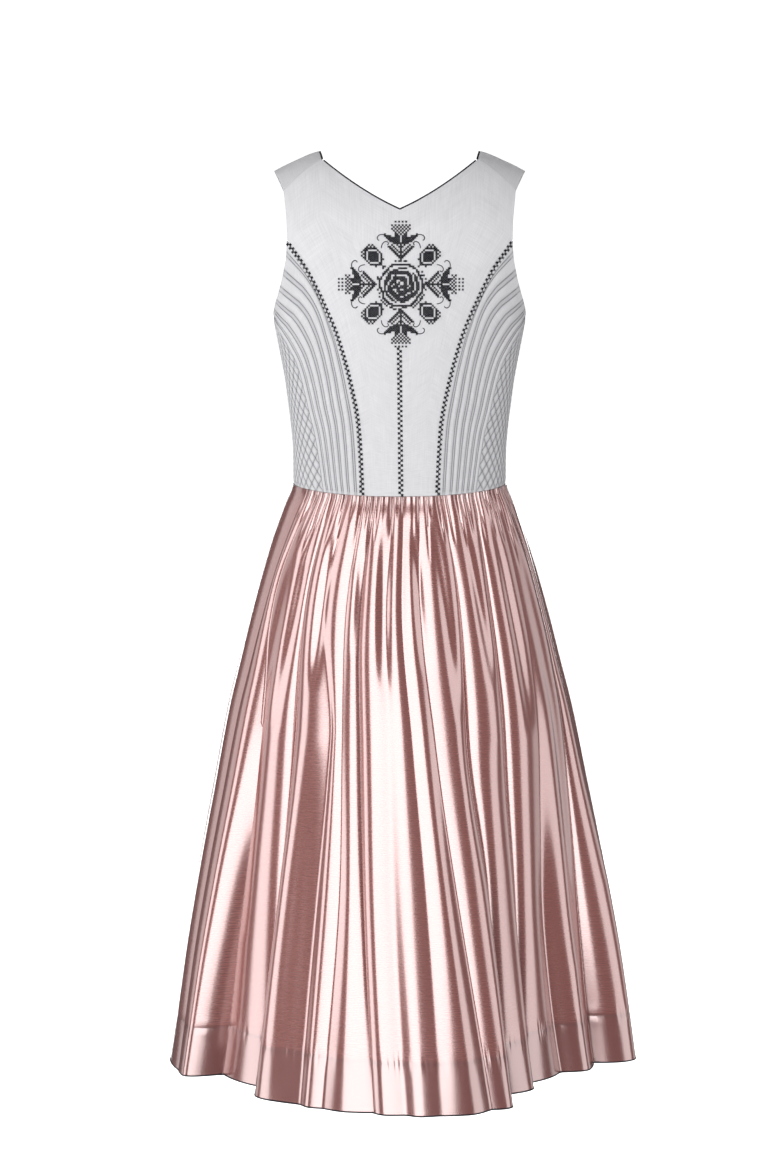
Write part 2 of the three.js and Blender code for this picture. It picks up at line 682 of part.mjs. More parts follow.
// Direction along the skirt round its plan, and outward from it
function skirtFrame(folds, at, z, span = 0.02) {
  const along = skirtPoint(folds, at + span, z, false).sub(skirtPoint(folds, at - span, z, false));
  along.z = 0;
  along.normalize();
  return { along, outward: new THREE.Vector3(along.y, -along.x, 0) };
}

function skirtPiece(folds) {
  const count = folds.length - 1;
  const fine = [];
  const broad = [];
  for (let i = 0; i < count; i += 1) {
    const halves = Math.max(4, folds[i].gathers * 2);
    for (let k = 0; k < halves; k += 1) fine.push(i + k / halves);
    foldSteps.forEach((share) => broad.push(i + share));
  }
  fine.push(count);
  broad.push(count);
  const atSeam = (at) => at === 0 || at === count;
  const pulled = (point, at, z) => {
    if (!atSeam(at)) return point;
    return point.addScaledVector(planFrame(folds, at, z).along, at === 0 ? skirtSeamGap / 2 : -skirtSeamGap / 2);
  };
  const topGap = (point, z) => {
    if (z === gatherRows[0]) point.z = waistHeight(point.y) - seamGap;
    return point;
  };
  const outerAt = (at, z, gathered) => topGap(pulled(skirtPoint(folds, at, z, gathered), at, z), z);
  const innerAt = (at, z) => {
    const fade = clamp01((z - gatherEnd) / (waistSide - gatherEnd)) ** 1.3;
    const { outward } = atSeam(at) ? planFrame(folds, at, z) : skirtFrame(folds, at, z);
    const point = skirtPoint(folds, at, z, false).addScaledVector(outward, -skirtWall - gatherDepth * fade);
    return topGap(pulled(point, at, z), z);
  };
  const placed = (point, at) => {
    point.share = at / count;
    return point;
  };
  const outer = [
    ...gatherRows.map((z) => fine.map((at) => placed(outerAt(at, z, true), at))),
    ...foldRows.map((z) => broad.map((at) => placed(outerAt(at, z, false), at))),
  ];
  const innerRows = [...gatherRows.filter((z, i) => i % 2 === 0), ...foldRows];
  const inner = innerRows.map((z) => broad.map((at) => placed(innerAt(at, z), at)));
  return wallBody(outer, inner);
}

// The same directions at a seam, where they follow the plan without folds
function planFrame(folds, at, z) {
  const angle = atLevel(folds[at].places, z);
  const along = skirtPlan(angle + 0.5, z).sub(skirtPlan(angle - 0.5, z)).normalize();
  return { along, outward: new THREE.Vector3(along.y, -along.x, 0) };
}

// Piping under the hem of one skirt piece
function hemPiping(folds) {
  const count = folds.length - 1;
  const places = [];
  for (let i = 0; i < count; i += 1) foldSteps.forEach((share) => places.push(i + share));
  places[0] = 0.02;
  places.push(count - 0.02);
  const cord = places.map((at) => {
    const { outward } = skirtFrame(folds, Math.min(count - 0.03, Math.max(0.03, at)), hemLine);
    const centre = skirtPoint(folds, at, hemLine, false).addScaledVector(outward, -skirtWall / 2);
    centre.z = hemLine - seamGap - pipingRadius;
    return { centre, first: outward, second: new THREE.Vector3(0, 0, 1) };
  });
  return pipingBody(cord, 5);
}

const cloth = {
  linen: { color: 0xd5d5d8, roughness: 0.82, metalness: 0 },
  piping: { color: 0x15151a, roughness: 0.55, metalness: 0 },
  satin: { color: 0xb98279, roughness: 0.3, metalness: 0 },
};

const dress = new THREE.Group();
function addPiece(name, geometry, finish) {
  const piece = new THREE.Mesh(geometry, new THREE.MeshStandardMaterial(finish));
  piece.name = name;
  dress.add(piece);
}

// The same geometry on the other side of the dress
function otherSide(geometry) {
  const position = geometry.getAttribute('position');
  const points = [];
  for (let i = 0; i < position.count; i += 1) {
    points.push(mirrored(new THREE.Vector3().fromBufferAttribute(position, i)));
  }
  const flat = Array.from(geometry.getIndex().array);
  const faces = [];
  for (let i = 0; i < flat.length; i += 3) faces.push([flat[i], flat[i + 1], flat[i + 2]]);
  return solid(points, faces);
}

const side = sidePanel();
const front = frontPanel();
const neckCord = frontNeckPiping();
addPiece('back_panel', backPanel(), cloth.linen);
addPiece('side_panel_right', side, cloth.linen);
addPiece('side_panel_left', otherSide(side), cloth.linen);
addPiece('front_right', front, cloth.linen);
addPiece('front_left', otherSide(front), cloth.linen);
addPiece('neck_piping_back', backNeckPiping(), cloth.piping);
addPiece('neck_piping_right', neckCord, cloth.piping);
addPiece('neck_piping_left', otherSide(neckCord), cloth.piping);
addPiece('skirt_back', skirtPiece(backFolds), cloth.satin);
addPiece('skirt_front', skirtPiece(frontFolds), cloth.satin);
addPiece('hem_piping_back', hemPiping(backFolds), cloth.piping);
addPiece('hem_piping_front', hemPiping(frontFolds), cloth.piping);

export default dress;
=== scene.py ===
import math
import bpy
import numpy as np
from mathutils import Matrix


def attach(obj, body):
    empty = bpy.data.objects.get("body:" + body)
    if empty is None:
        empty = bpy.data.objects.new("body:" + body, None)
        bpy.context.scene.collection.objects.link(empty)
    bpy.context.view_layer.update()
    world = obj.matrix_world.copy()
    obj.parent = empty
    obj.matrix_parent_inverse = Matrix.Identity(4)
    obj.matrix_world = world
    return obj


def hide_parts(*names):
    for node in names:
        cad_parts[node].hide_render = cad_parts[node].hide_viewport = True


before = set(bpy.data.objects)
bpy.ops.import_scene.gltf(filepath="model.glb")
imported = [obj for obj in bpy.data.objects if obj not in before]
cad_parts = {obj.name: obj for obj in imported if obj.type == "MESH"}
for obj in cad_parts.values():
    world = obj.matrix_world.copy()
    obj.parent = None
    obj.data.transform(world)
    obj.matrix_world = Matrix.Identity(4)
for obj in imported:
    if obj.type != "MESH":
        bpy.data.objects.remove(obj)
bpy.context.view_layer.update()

# A dirndl in its worn shape: a quilted linen bodice with black cross-stitch over a gathered satin skirt.
# The tables are in millimetres, as the dress was cut. Meshes are made in metres.
MM = 0.001


def columns(names, *rows):
    """A table with named columns, its rows in rising order of the first."""
    ordered = sorted(rows)
    return {name: np.array([row[i] for row in ordered], float) for i, name in enumerate(names.split())}


# Driving dimensions
WAIST_SIDE = -402
WAIST_DIP, WAIST_DIP_AT = 9, 98
WAIST_HALF, WAIST_BACK, WAIST_FRONT = 131.5, 95, 88
BACK_SEAM_DEPTH = 91     # of the waist end of the curved seams, behind the side line
HEM_LINE = -1131.5
BODICE_WALL = 2
SATIN_WALL = 0.8
SEAM_GAP = 0.34
PIPING_RADIUS = 1.1
TRUNK_POWER = 2.3
BACK_ARCH_DROP, FRONT_ARCH_DROP, ARCH_POWER = 132, 205, 1.95
NECK_END, BACK_TIP = 95, 141
NECK_LOW, NECK_RISE, NECK_CURVE = -67, 0.45, 0.0021
SHOULDER_SEAM_HIGH, SHOULDER_SEAM_FALL, SHOULDER_SEAM_CURVE = -5.2, 0.6, 0.005
FRONT_EDGE = 0.2         # from the centre line to the edge of a front
ARMHOLE_Z = -104
SIDE_SEAM_TOP, SIDE_SEAM_WAIST, SIDE_SEAM_HIGH = 22, 9, -192
BUST_SIDE, BUST_HEIGHT, BUST_OUT, BUST_WIDE, BUST_ABOVE, BUST_BELOW = 70, -238, 15, 46, 62, 50

# Half width of the trunk, and its depth behind and before the side line
TRUNK = columns(
    "z half back front",
    (20, 195, 96, 70), (-40, 193, 100, 84), (-80, 189, 104, 96), (-110, 183, 105, 102),
    (-140, 174, 105, 106), (-170, 163, 104.5, 108), (-194, 155.5, 104, 109), (-213, 152, 103.5, 109),
    (-242, 146.5, 102, 107), (-272, 141, 100, 103), (-302, 137, 98, 98), (-331, 133.5, 96, 93),
    (-361, 131.2, 95, 89.5), (-391, 130.8, 95, 88), (-420, 132.5, 96, 89),
)
SHOULDER_LINE = columns("x z", (0, 14), (60, 11), (99, 6), (130, -6), (154, -18), (200, -46))
BACK_SEAM = columns(
    "z x",
    (-416, 45.5), (-376, 47), (-327, 50), (-277, 59), (-216, 76), (-194, 85), (-145, 108.5), (-104, 136.3),
)
BACK_ARMHOLE = columns("z x", (-104, 136.3), (-88, 136.6), (-58, 139.3), (-43.2, 141))
UNDERARM = columns(
    "along turn z",
    (0, -45.1, -104), (0.16, -43.4, -120), (0.38, -36.8, -149), (0.62, -24.2, -176), (0.82, -11, -190),
    (1, 0, -194.5), (1.3, 22, -192),
)
QUILT_EDGE = columns(
    "along x z",
    (0, 92.5, -408), (0.16, 97, -374), (0.32, 102.5, -339), (0.45, 109, -313), (0.56, 114.5, -289),
    (0.72, 124, -254), (0.84, 136, -230), (0.93, 147, -212),
)
STATIONS = columns(
    "at neck_x neck_drop arm_x arm_drop",
    (0, 95, -12.2, 141, -31.8), (0.06, 97.5, -4, 149.5, -9), (0.1, 99, 0, 154, 0), (0.14, 98.6, 5, 151.5, 8),
    (0.2, 97, 22, 144, 30), (0.27, 94, 52, 135, 58), (0.34, 88, 86, 128.5, 87), (0.4, 75, 118, 127.5, 113),
    (0.45, 49, 142, 133, 139), (0.48, 24, 154, 140, 158), (0.5, 0.2, 160, 148.2, 177.5),
)
SKIRT = columns(
    "z half power",
    (-395, 131.5, 2.3), (-406, 134, 2.3), (-423, 141.5, 2.25), (-448, 151, 2.2), (-473, 160, 2.15),
    (-499, 168.5, 2.1), (-524, 176, 2.05), (-574, 190, 2), (-625, 203, 2), (-675, 216, 2), (-777, 237, 2),
    (-880, 258, 2), (-984, 277, 2), (-1088, 292, 2), (-1140, 299, 2),
)
BACK_SPRING, FRONT_SPRING = 0.9, 0.75
LOBE_START = -560
FOLD_LEVELS = [-1134, -890, -700, -535, -404]

# Creases of the skirt, clockwise from the left side over the back: their places in degrees at waist, hip,
# thigh, knee and hem, their depths at the last four, how far the cloth after them stands out at the hem, its
# gathers, how far the crease runs under the fold after it, and its shape: 1 turns sharply, -1 softly.
FOLD_COLUMNS = "waist hip thigh knee hem deep_hip deep_thigh deep_knee deep_hem out gathers tuck shape"
BACK_FOLDS = columns(
    FOLD_COLUMNS,
    (33, 24.4, 21.2, 19, 17, 3, 4, 4, 4, -6, 2, 0, -0.25),
    (41, 31, 36, 33, 28, 4, 5, 5, 3, -50, 4, 0, -0.4),
    (53.8, 49.5, 52.2, 50.6, 48, 6, 10, 11, 7, -13, 3, 6, 1),
    (64, 60, 67.5, 66.5, 65, 3, 3, 3, 1, -6, 2, 0, -1),
    (70, 69, 71.5, 73.5, 71.5, 3, 2, 2, 1.5, 0, 2, 0, -0.6),
    (77, 75.2, 78, 80.5, 84, 7, 7, 5, 2.5, 8, 3, 0, 0),
    (86, 84.8, 86.5, 88, 91, 4, 1.5, 1.5, 1, 14, 2, 0, -1),
    (92, 90.8, 94, 97, 99, 3, 3, 3, 2, 15, 2, 0, -0.7),
    (100, 98, 101, 105.5, 111.5, 4, 4, 6, 4, 5, 4, 0, -0.5),
    (112, 113.8, 113, 117, 118.5, 6, 10, 9, 4, -45, 5, -5, 1),
    (130, 129, 128.5, 130, 133, 8, 12, 12, 5, -69, 5, -5, 0.8),
    (146, 146, 144, 143, 151, 4, 4, 4, 4, -45, 4, 0, -0.9),
    (160, 166, 165, 165, 169, 7, 9, 9, 6, 3, 7, 0, 0),
    (183, 183, 183, 183, 183, 3, 4, 5, 5, 0, 0, 0, -0.25),
)
FRONT_FOLDS = columns(
    FOLD_COLUMNS,
    (183, 183, 183, 183, 183, 3, 4, 5, 5, 3, 3, 0, -0.25),
    (199, 201, 202, 204, 205, 3, 4, 6, 6, -8, 3, 0, 0),
    (214, 217, 219, 222, 224, 2, 3, 5, 5, 4, 3, 0, -1),
    (228, 231, 234, 237, 238, 3, 5, 7, 7, -6, 3, 0, 0),
    (242, 246, 248, 252, 256, 2, 3, 4, 4, 8, 3, 0, -1),
    (256, 260, 263, 267, 269, 3, 5, 7, 7, 10, 3, 0, 0),
    (270, 273, 276, 282, 286, 2, 3, 5, 5, -4, 3, 0, 0),
    (284, 287, 291, 297, 300, 3, 5, 7, 7, 5, 3, 0, -0.5),
    (299, 303, 307, 314, 319, 2, 4, 6, 6, -8, 3, 0, 0),
    (314, 320, 324, 330, 334, 3, 4, 5, 5, -3, 3, 0, -0.5),
    (332, 340, 343, 349, 352, 2, 3, 4, 4, -6, 1, 0, 0),
    (393, 384.4, 381.2, 379, 377, 3, 4, 4, 4, 0, 0, 0, -0.25),
)


# Curves and the shape of the body of the dress

def smooth(keys, values, at):
    """Value between knots on a smooth curve that never overshoots them."""
    keys, values = np.asarray(keys, float), np.asarray(values, float)
    at = np.clip(np.asarray(at, float), keys[0], keys[-1])
    i = np.clip(np.searchsorted(keys, at, side="right") - 1, 0, len(keys) - 2)
    rise = np.diff(values) / np.diff(keys)
    both = rise[:-1] * rise[1:]
    inner = np.where(both > 0, 2 * both / np.where(both > 0, rise[:-1] + rise[1:], 1), 0)
    slope = np.concatenate([rise[:1], inner, rise[-1:]])
    span = keys[i + 1] - keys[i]
    t = (at - keys[i]) / span
    bend = slope[i] * t * (1 - t) ** 2 - slope[i + 1] * t * t * (1 - t)
    return values[i] + (values[i + 1] - values[i]) * t * t * (3 - 2 * t) + bend * span


def read(table, name, at):
    return smooth(next(iter(table.values())), table[name], at)


def mix(a, b, t):
    return a + (b - a) * t


def ease(t):
    t = np.clip(t, 0, 1)
    return t * t * (3 - 2 * t)


def waist_height(y):
    return WAIST_SIDE - WAIST_DIP * (y / WAIST_DIP_AT) ** 2


def shoulder_arch(drop, facing):
    """Rounding up to the shoulder: 0 on the shoulder line, 1 well below it."""
    reach = np.where(facing < 0, BACK_ARCH_DROP, FRONT_ARCH_DROP)
    left = 1 - np.clip(drop / reach, 0, 1)
    return (1 - left ** ARCH_POWER) ** (1 / ARCH_POWER)


def bust_swell(x, z):
    tall = np.where(z > BUST_HEIGHT, BUST_ABOVE, BUST_BELOW)
    across = (np.abs(x) - BUST_SIDE) / BUST_WIDE
    up = (z - BUST_HEIGHT) / tall
    return BUST_OUT * np.exp(-across * across - up * up)


def trunk_point(across, deep, z, facing):
    """Point of the trunk at a share of its half width, with the matching share of its depth."""
    x = read(TRUNK, "half", z) * across
    drop = read(SHOULDER_LINE, "z", np.abs(x)) - z
    depth = np.where(facing < 0, read(TRUNK, "back", z), read(TRUNK, "front", z))
    y = facing * depth * deep * shoulder_arch(drop, facing)
    y = y + np.where(facing > 0, bust_swell(x, z) * ease(deep * 1.6), 0)
    return np.stack(np.broadcast_arrays(x, y, z), axis=-1).astype(float)


def trunk_by_x(x, z, facing=-1):
    across = np.minimum(1, np.abs(x) / read(TRUNK, "half", z))
    deep = (1 - across ** TRUNK_POWER) ** (1 / TRUNK_POWER)
    return trunk_point(across * np.sign(x), deep, z, facing)


def trunk_by_turn(turn, z):
    c, s = np.cos(np.radians(turn)), np.abs(np.sin(np.radians(turn)))
    size = (c ** TRUNK_POWER + s ** TRUNK_POWER) ** (-1 / TRUNK_POWER)
    return trunk_point(c * size, s * size, z, np.where(turn < 0, -1, 1))


def turn_of(x, z):
    across = x / read(TRUNK, "half", z)
    deep = (1 - across ** TRUNK_POWER) ** (1 / TRUNK_POWER)
    return -np.degrees(np.arctan2(deep, across))


def back_edge(z):
    return np.where(z < ARMHOLE_Z, read(BACK_SEAM, "x", z), read(BACK_ARMHOLE, "x", z))


def back_top(x):
    """Neckline behind, then the shoulder seam, by distance from the centre."""
    far = np.abs(x)
    beyond = far - NECK_END
    neck = NECK_LOW + NECK_RISE * far + NECK_CURVE * far ** 2
    seam = SHOULDER_SEAM_HIGH - SHOULDER_SEAM_FALL * beyond - SHOULDER_SEAM_CURVE * beyond ** 2
    return np.where(beyond <= 0, neck, seam)


def back_sheet(across, up):
    low = waist_height(-WAIST_BACK)
    x = across * back_edge(mix(low, back_top(BACK_TIP), up))
    low_z = waist_height(trunk_by_x(x, np.full_like(x, low))[..., 1])
    return trunk_by_x(x, mix(low_z, back_top(across * BACK_TIP), up))


def seam_line(up):
    z = mix(waist_height(-BACK_SEAM_DEPTH), ARMHOLE_Z, up)
    return turn_of(back_edge(z), z), z


def rib_edge(up, top=0.93):
    z = read(QUILT_EDGE, "z", up)
    t = np.clip((up - top) / (1 - top), 0, 1)
    turn = mix(turn_of(read(QUILT_EDGE, "x", up), z), 0, t)
    return turn, mix(z, UNDERARM["z"][-2], t)


def side_seam(up):
    return mix(SIDE_SEAM_WAIST, SIDE_SEAM_TOP, up), mix(WAIST_SIDE, SIDE_SEAM_HIGH, up)


def side_sheet(left, right, start, end):
    """Sheet between two upright lines whose tops lie on the armhole from start to end."""
    def sheet(across, up):
        along = mix(start, end, across)
        (a_turn, a_z), (b_turn, b_z) = left(up), right(up)
        (a_top, a_top_z), (b_top, b_top_z) = left(np.array(1.0)), right(np.array(1.0))
        pull = ease(up) * up
        turned = read(UNDERARM, "turn", along) - mix(a_top, b_top, across)
        raised = read(UNDERARM, "z", along) - mix(a_top_z, b_top_z, across)
        turn = mix(a_turn, b_turn, across) + turned * pull
        z = mix(a_z, b_z, across) + raised * pull
        level = waist_height(trunk_by_turn(turn, np.full_like(turn, WAIST_SIDE))[..., 1])
        low = mix(left(np.array(0.0))[1], right(np.array(0.0))[1], across)
        return trunk_by_turn(turn, z + (level - low) * (1 - ease(up * 3)))
    return sheet


rib_sheet = side_sheet(seam_line, rib_edge, 0, 1)
diamond_sheet = side_sheet(rib_edge, side_seam, 1, 1.3)


def front_edges(at):
    """Inner and outer edge of a front at each station, as distance from the centre and drop."""
    down = np.clip((at - 0.5) * 2, 0, 1)
    middle = SHOULDER_LINE["z"][0]
    neck_z = mix(middle - STATIONS["neck_drop"][-1], waist_height(WAIST_FRONT), down)
    turn, z = side_seam(1 - down)
    point = trunk_by_turn(turn, z)
    upper = at <= 0.5
    arm_x = np.where(upper, read(STATIONS, "arm_x", at), point[..., 0])
    arm_drop = np.where(upper, read(STATIONS, "arm_drop", at), read(SHOULDER_LINE, "z", point[..., 0]) - z)
    neck_x = np.where(upper, read(STATIONS, "neck_x", at), FRONT_EDGE)
    neck_drop = np.where(upper, read(STATIONS, "neck_drop", at), middle - neck_z)
    return neck_x, neck_drop, arm_x, arm_drop


def front_sheet(across, at):
    """Front, which runs back over the shoulder: across 0 at neck and centre, at 0 on the seam behind."""
    neck_x, neck_drop, arm_x, arm_drop = front_edges(at)
    neck_z = read(SHOULDER_LINE, "z", neck_x) - np.abs(neck_drop)
    arm_z = read(SHOULDER_LINE, "z", arm_x) - np.abs(arm_drop)
    round_ = np.maximum(arm_x * 1.02, read(TRUNK, "half", arm_z))
    x = round_ * np.sin(mix(np.arcsin(neck_x / round_), np.arcsin(arm_x / round_), across))
    drop = mix(neck_drop, arm_drop, across)
    hung = read(SHOULDER_LINE, "z", x) - np.abs(drop)
    z = mix(hung, mix(neck_z, arm_z, across), ease((at - 0.2) / 0.3))
    return trunk_by_x(x, z, np.where(drop < 0, -1, 1))


def skirt_plan(angle, z):
    """Plan of the skirt without folds, as x and y."""
    half, power = read(SKIRT, "half", z), read(SKIRT, "power", z)
    c, s = -np.cos(np.radians(angle)), -np.sin(np.radians(angle))
    size = (np.abs(c) ** power + np.abs(s) ** power) ** (-1 / power)
    wider = half - WAIST_HALF
    depth = np.where(s < 0, WAIST_BACK + BACK_SPRING * wider, WAIST_FRONT + FRONT_SPRING * wider)
    return np.stack([half * size * c, depth * size * s], axis=-1)


def crease_levels(folds, names, z):
    """A crease's value at each height, one column for each crease. A number in names holds for all."""
    same = np.ones(len(folds["out"]))
    knots = np.array([folds[name] if isinstance(name, str) else name * same for name in names])
    return np.stack([smooth(FOLD_LEVELS, knots[:, k], z) for k in range(knots.shape[1])], axis=-1)


GATHER_SHALLOW, GATHER_DEEP = 1.3, 3.8
GATHER_SHORT, GATHER_LONG = 24, 105
SOFTER = 0.72            # depth of the soft creases, as a share of the depths in the tables


def gather_relief(folds, i, share, z, seed):
    """Depth of the gathers below the waist seam: narrow valleys, uneven in place, depth and length, that
    lean towards one another as they run out."""
    chance = np.random.default_rng(seed)
    starts = np.concatenate([[0], np.cumsum(folds["gathers"])])
    total = int(starts[-1]) + 1
    moved, leant = chance.uniform(-0.26, 0.26, total), chance.uniform(-0.24, 0.24, total)
    moved[[0, -1]], leant[[0, -1]] = 0, 0
    depth = chance.uniform(GATHER_SHALLOW, GATHER_DEEP, total)
    end = WAIST_SIDE - GATHER_SHORT - (GATHER_LONG - GATHER_SHORT) * chance.uniform(0, 1, total) ** 1.6
    phase = starts[i] + folds["gathers"][i] * share
    k = np.minimum(total - 2, np.floor(phase).astype(int))
    t = ease(phase - k)
    down = np.clip((WAIST_SIDE - z) / 90, 0, 1)
    phase = phase + mix(moved[k], moved[k + 1], t) + mix(leant[k], leant[k + 1], t) * down
    valley = np.clip(np.round(phase).astype(int), 0, total - 1)
    fade = np.clip((z - end[valley]) / (WAIST_SIDE - end[valley]), 0, 1) ** 0.9
    shape = 1 - np.abs(np.sin(np.pi * phase)) ** 0.7
    return depth[valley] * fade * shape


RIPPLES = columns(
    "turn lean top foot depth wide",
    (38, -6, -480, -960, 4, 4), (47, -3, -430, -700, 2.4, 2.4), (58, 1, -450, -640, 2.6, 2),
    (61, -1, -700, -1134, 3, 4), (73, 1, -440, -600, 2.2, 1.8), (82, 2, -430, -640, 2, 2),
    (96, 3, -430, -620, 2.4, 2), (106, 4, -430, -680, 2.6, 2.4), (112, 5, -760, -1134, 3, 3),
    (121, 3, -430, -640, 3, 2.4), (124, 4, -700, -1134, 5, 4), (138, 1, -430, -700, 3.6, 3),
    (153, 4, -440, -1000, 4, 4), (172, 1, -430, -900, 3, 3.4), (190, 2, -430, -760, 2.6, 2.6),
    (207, 3, -440, -900, 2.4, 3), (236, 2, -500, -1134, 2, 3), (250, 4, -430, -760, 2.4, 2.6),
    (277, 5, -430, -700, 2.2, 2.4), (293, 6, -440, -860, 2.4, 2.8), (324, 5, -440, -1000, 2.6, 3),
    (350, 2, -430, -900, 3, 4), (366, -1, -470, -1134, 2.6, 4),
)


def ripple_relief(angle, z):
    """Soft troughs that lie between the main creases."""
    depth = np.zeros_like(angle)
    for turn, lean, top, foot, deep, wide in zip(*RIPPLES.values()):
        t = np.clip((top - z) / (top - foot), 0, 1)
        away = (angle - turn - lean * t) / wide
        depth = depth + deep * np.sin(np.pi * t) ** 0.7 * np.exp(-away * away)
    return depth


def skirt_sheet(folds, at, z, seed=None):
    """Points of the skirt, rows down the dress and columns round it. at counts the creases."""
    count = len(folds["out"]) - 1
    z = z[:, None]
    i = np.minimum(count - 1, np.floor(at).astype(int))[None, :]
    share = at[None, :] - i
    grown = ease((LOBE_START - z) / (LOBE_START - HEM_LINE))
    places = crease_levels(folds, ("hem", "knee", "thigh", "hip", "waist"), z[:, 0])
    depths = crease_levels(folds, ("deep_hem", "deep_knee", "deep_thigh", "deep_hip", 2), z[:, 0])
    depths = depths * np.where(folds["shape"] > 0.5, 1, SOFTER)
    stand = folds["out"]
    before = stand[np.maximum(0, np.arange(count + 1) - 1)]
    after = stand[np.minimum(count - 1, np.arange(count + 1))]
    low = np.minimum(before, after)[None, :] * grown - depths
    first = share < 0.5
    near = np.where(first, i, i + 1)
    distance = np.where(first, share * 2, 2 - share * 2)
    rows = np.arange(len(z))[:, None]
    shape = folds["shape"][near]
    power = 0.62 - 0.25 * np.maximum(shape, 0) * grown - 0.8 * np.minimum(shape, 0)
    rise = np.sin(np.pi / 2 * np.clip(distance, 0, 1)) ** power
    offset = mix(low[rows, near], stand[i] * grown, rise)
    tuck = folds["tuck"][near] * grown
    under = np.where(first, tuck > 0, tuck < 0)
    slide = tuck * (1 - np.minimum(1, distance)) - np.where(under, tuck * np.sin(np.pi * distance), 0)
    angle = mix(places[rows, i], places[rows, i + 1], share)
    if seed is not None:
        offset = offset - gather_relief(folds, i, share, z, seed) - ripple_relief(angle, z)
    along = skirt_plan(angle + 0.5, z) - skirt_plan(angle - 0.5, z)
    along /= np.linalg.norm(along, axis=-1, keepdims=True)
    outward = np.stack([along[..., 1], -along[..., 0]], axis=-1)
    flat = skirt_plan(angle, z) + outward * offset[..., None] + along * slide[..., None]
    height = z + (waist_height(flat[..., 1]) - WAIST_SIDE) * (1 - ease((FOLD_LEVELS[-1] - z) / 160))
    return np.concatenate([flat, height[..., None]], axis=-1)


# Meshes

def grid(across, up):
    """Two arrays, rows of up by columns of across."""
    return np.meshgrid(across, up)


def normals(points):
    """Outward normal at each point of a grid of points."""
    du, dv = np.gradient(points, axis=1), np.gradient(points, axis=0)
    normal = np.cross(du, dv)
    normal /= np.linalg.norm(normal, axis=-1, keepdims=True) + 1e-12
    outward = normal[..., 0] * points[..., 0] + normal[..., 1] * points[..., 1]
    return normal if outward.mean() > 0 else -normal


def arc(points):
    """Distance along a line of points."""
    return np.concatenate([[0], np.cumsum(np.linalg.norm(np.diff(points, axis=0), axis=1))])


def dress_mesh(name, points, faces, uv=None):
    """A smooth mesh in metres from points in millimetres, its faces turned outwards."""
    mesh = bpy.data.meshes.new(name)
    mesh.from_pydata((points * MM).tolist(), [], [list(face) for face in faces])
    mesh.update()
    mesh.calc_loop_triangles()
    corners = np.empty(len(mesh.loop_triangles) * 3, int)
    mesh.loop_triangles.foreach_get("vertices", corners)
    a, b, c = points[corners.reshape(-1, 3)].transpose(1, 0, 2)
    if (a * np.cross(b, c)).sum() < 0:
        mesh.flip_normals()
    if uv is not None:
        layer = mesh.uv_layers.new(name="cloth")
        where = np.empty(len(mesh.loops), int)
        mesh.loops.foreach_get("vertex_index", where)
        layer.data.foreach_set("uv", (uv[where] * MM).ravel())
    mesh.polygons.foreach_set("use_smooth", np.ones(len(mesh.polygons), bool))
    mesh.set_sharp_from_angle(angle=math.radians(55))
    return mesh


def new_piece(name, mesh, material):
    piece = bpy.data.objects.new(name, mesh)
    bpy.context.scene.collection.objects.link(piece)
    if material:
        mesh.materials.append(material)
    return piece


def shell(name, outer, inner, step, material, shade=None):
    """Closed cloth from a fine outer grid, an inner grid with one point in step, and the cut edges.

    shade darkens the outer points where it is high: painted shade in the grooves of padding, along seams,
    over the shoulders and under the waist seam; on the skirt it also darkens the band below the hem's fold."""
    rows, cols = outer.shape[:2]
    inner = inner[::step, ::step]
    low_rows, low_cols = inner.shape[:2]
    base = rows * cols
    out = np.arange(base).reshape(rows, cols)
    into = base + np.arange(low_rows * low_cols).reshape(low_rows, low_cols)

    def quads(index):
        corners = [index[:-1, :-1], index[:-1, 1:], index[1:, 1:], index[1:, :-1]]
        return np.stack(corners, axis=-1).reshape(-1, 4)

    faces = quads(out).tolist() + quads(into)[:, ::-1].tolist()

    def rim(fine, coarse, turn):
        for k in range(len(coarse) - 1):
            face = [coarse[k], coarse[k + 1]] + list(fine[k * step:(k + 1) * step + 1])[::-1]
            faces.append(face[::-1] if turn else face)

    rim(out[0], into[0], False)
    rim(out[-1], into[-1], True)
    rim(out[:, 0], into[:, 0], True)
    rim(out[:, -1], into[:, -1], False)
    points = np.concatenate([outer.reshape(-1, 3), inner.reshape(-1, 3)])
    u = arc(outer[rows // 2])
    v = arc(outer[:, cols // 2])
    uv = np.stack(np.meshgrid(u, v), axis=-1)
    uv = np.concatenate([uv.reshape(-1, 2), uv[::step, ::step].reshape(-1, 2)])
    mesh = dress_mesh(name, points, faces, uv)
    if shade is not None:
        values = np.concatenate([shade.ravel(), np.zeros(low_rows * low_cols)])
        mesh.attributes.new("shade", "FLOAT", "POINT").data.foreach_set("value", values)
    return new_piece(name, mesh, material)


def cut_size(sheet):
    width = max(arc(row)[-1] for row in sheet)
    length = max(arc(line)[-1] for line in sheet.transpose(1, 0, 2)[::4])
    first, second = sheet[1:, 1:] - sheet[:-1, :-1], sheet[1:, :-1] - sheet[:-1, 1:]
    area = np.linalg.norm(np.cross(first, second), axis=-1).sum() / 2
    area = min(area, width * length)


def mirror(points):
    return points * np.array([-1, 1, 1])


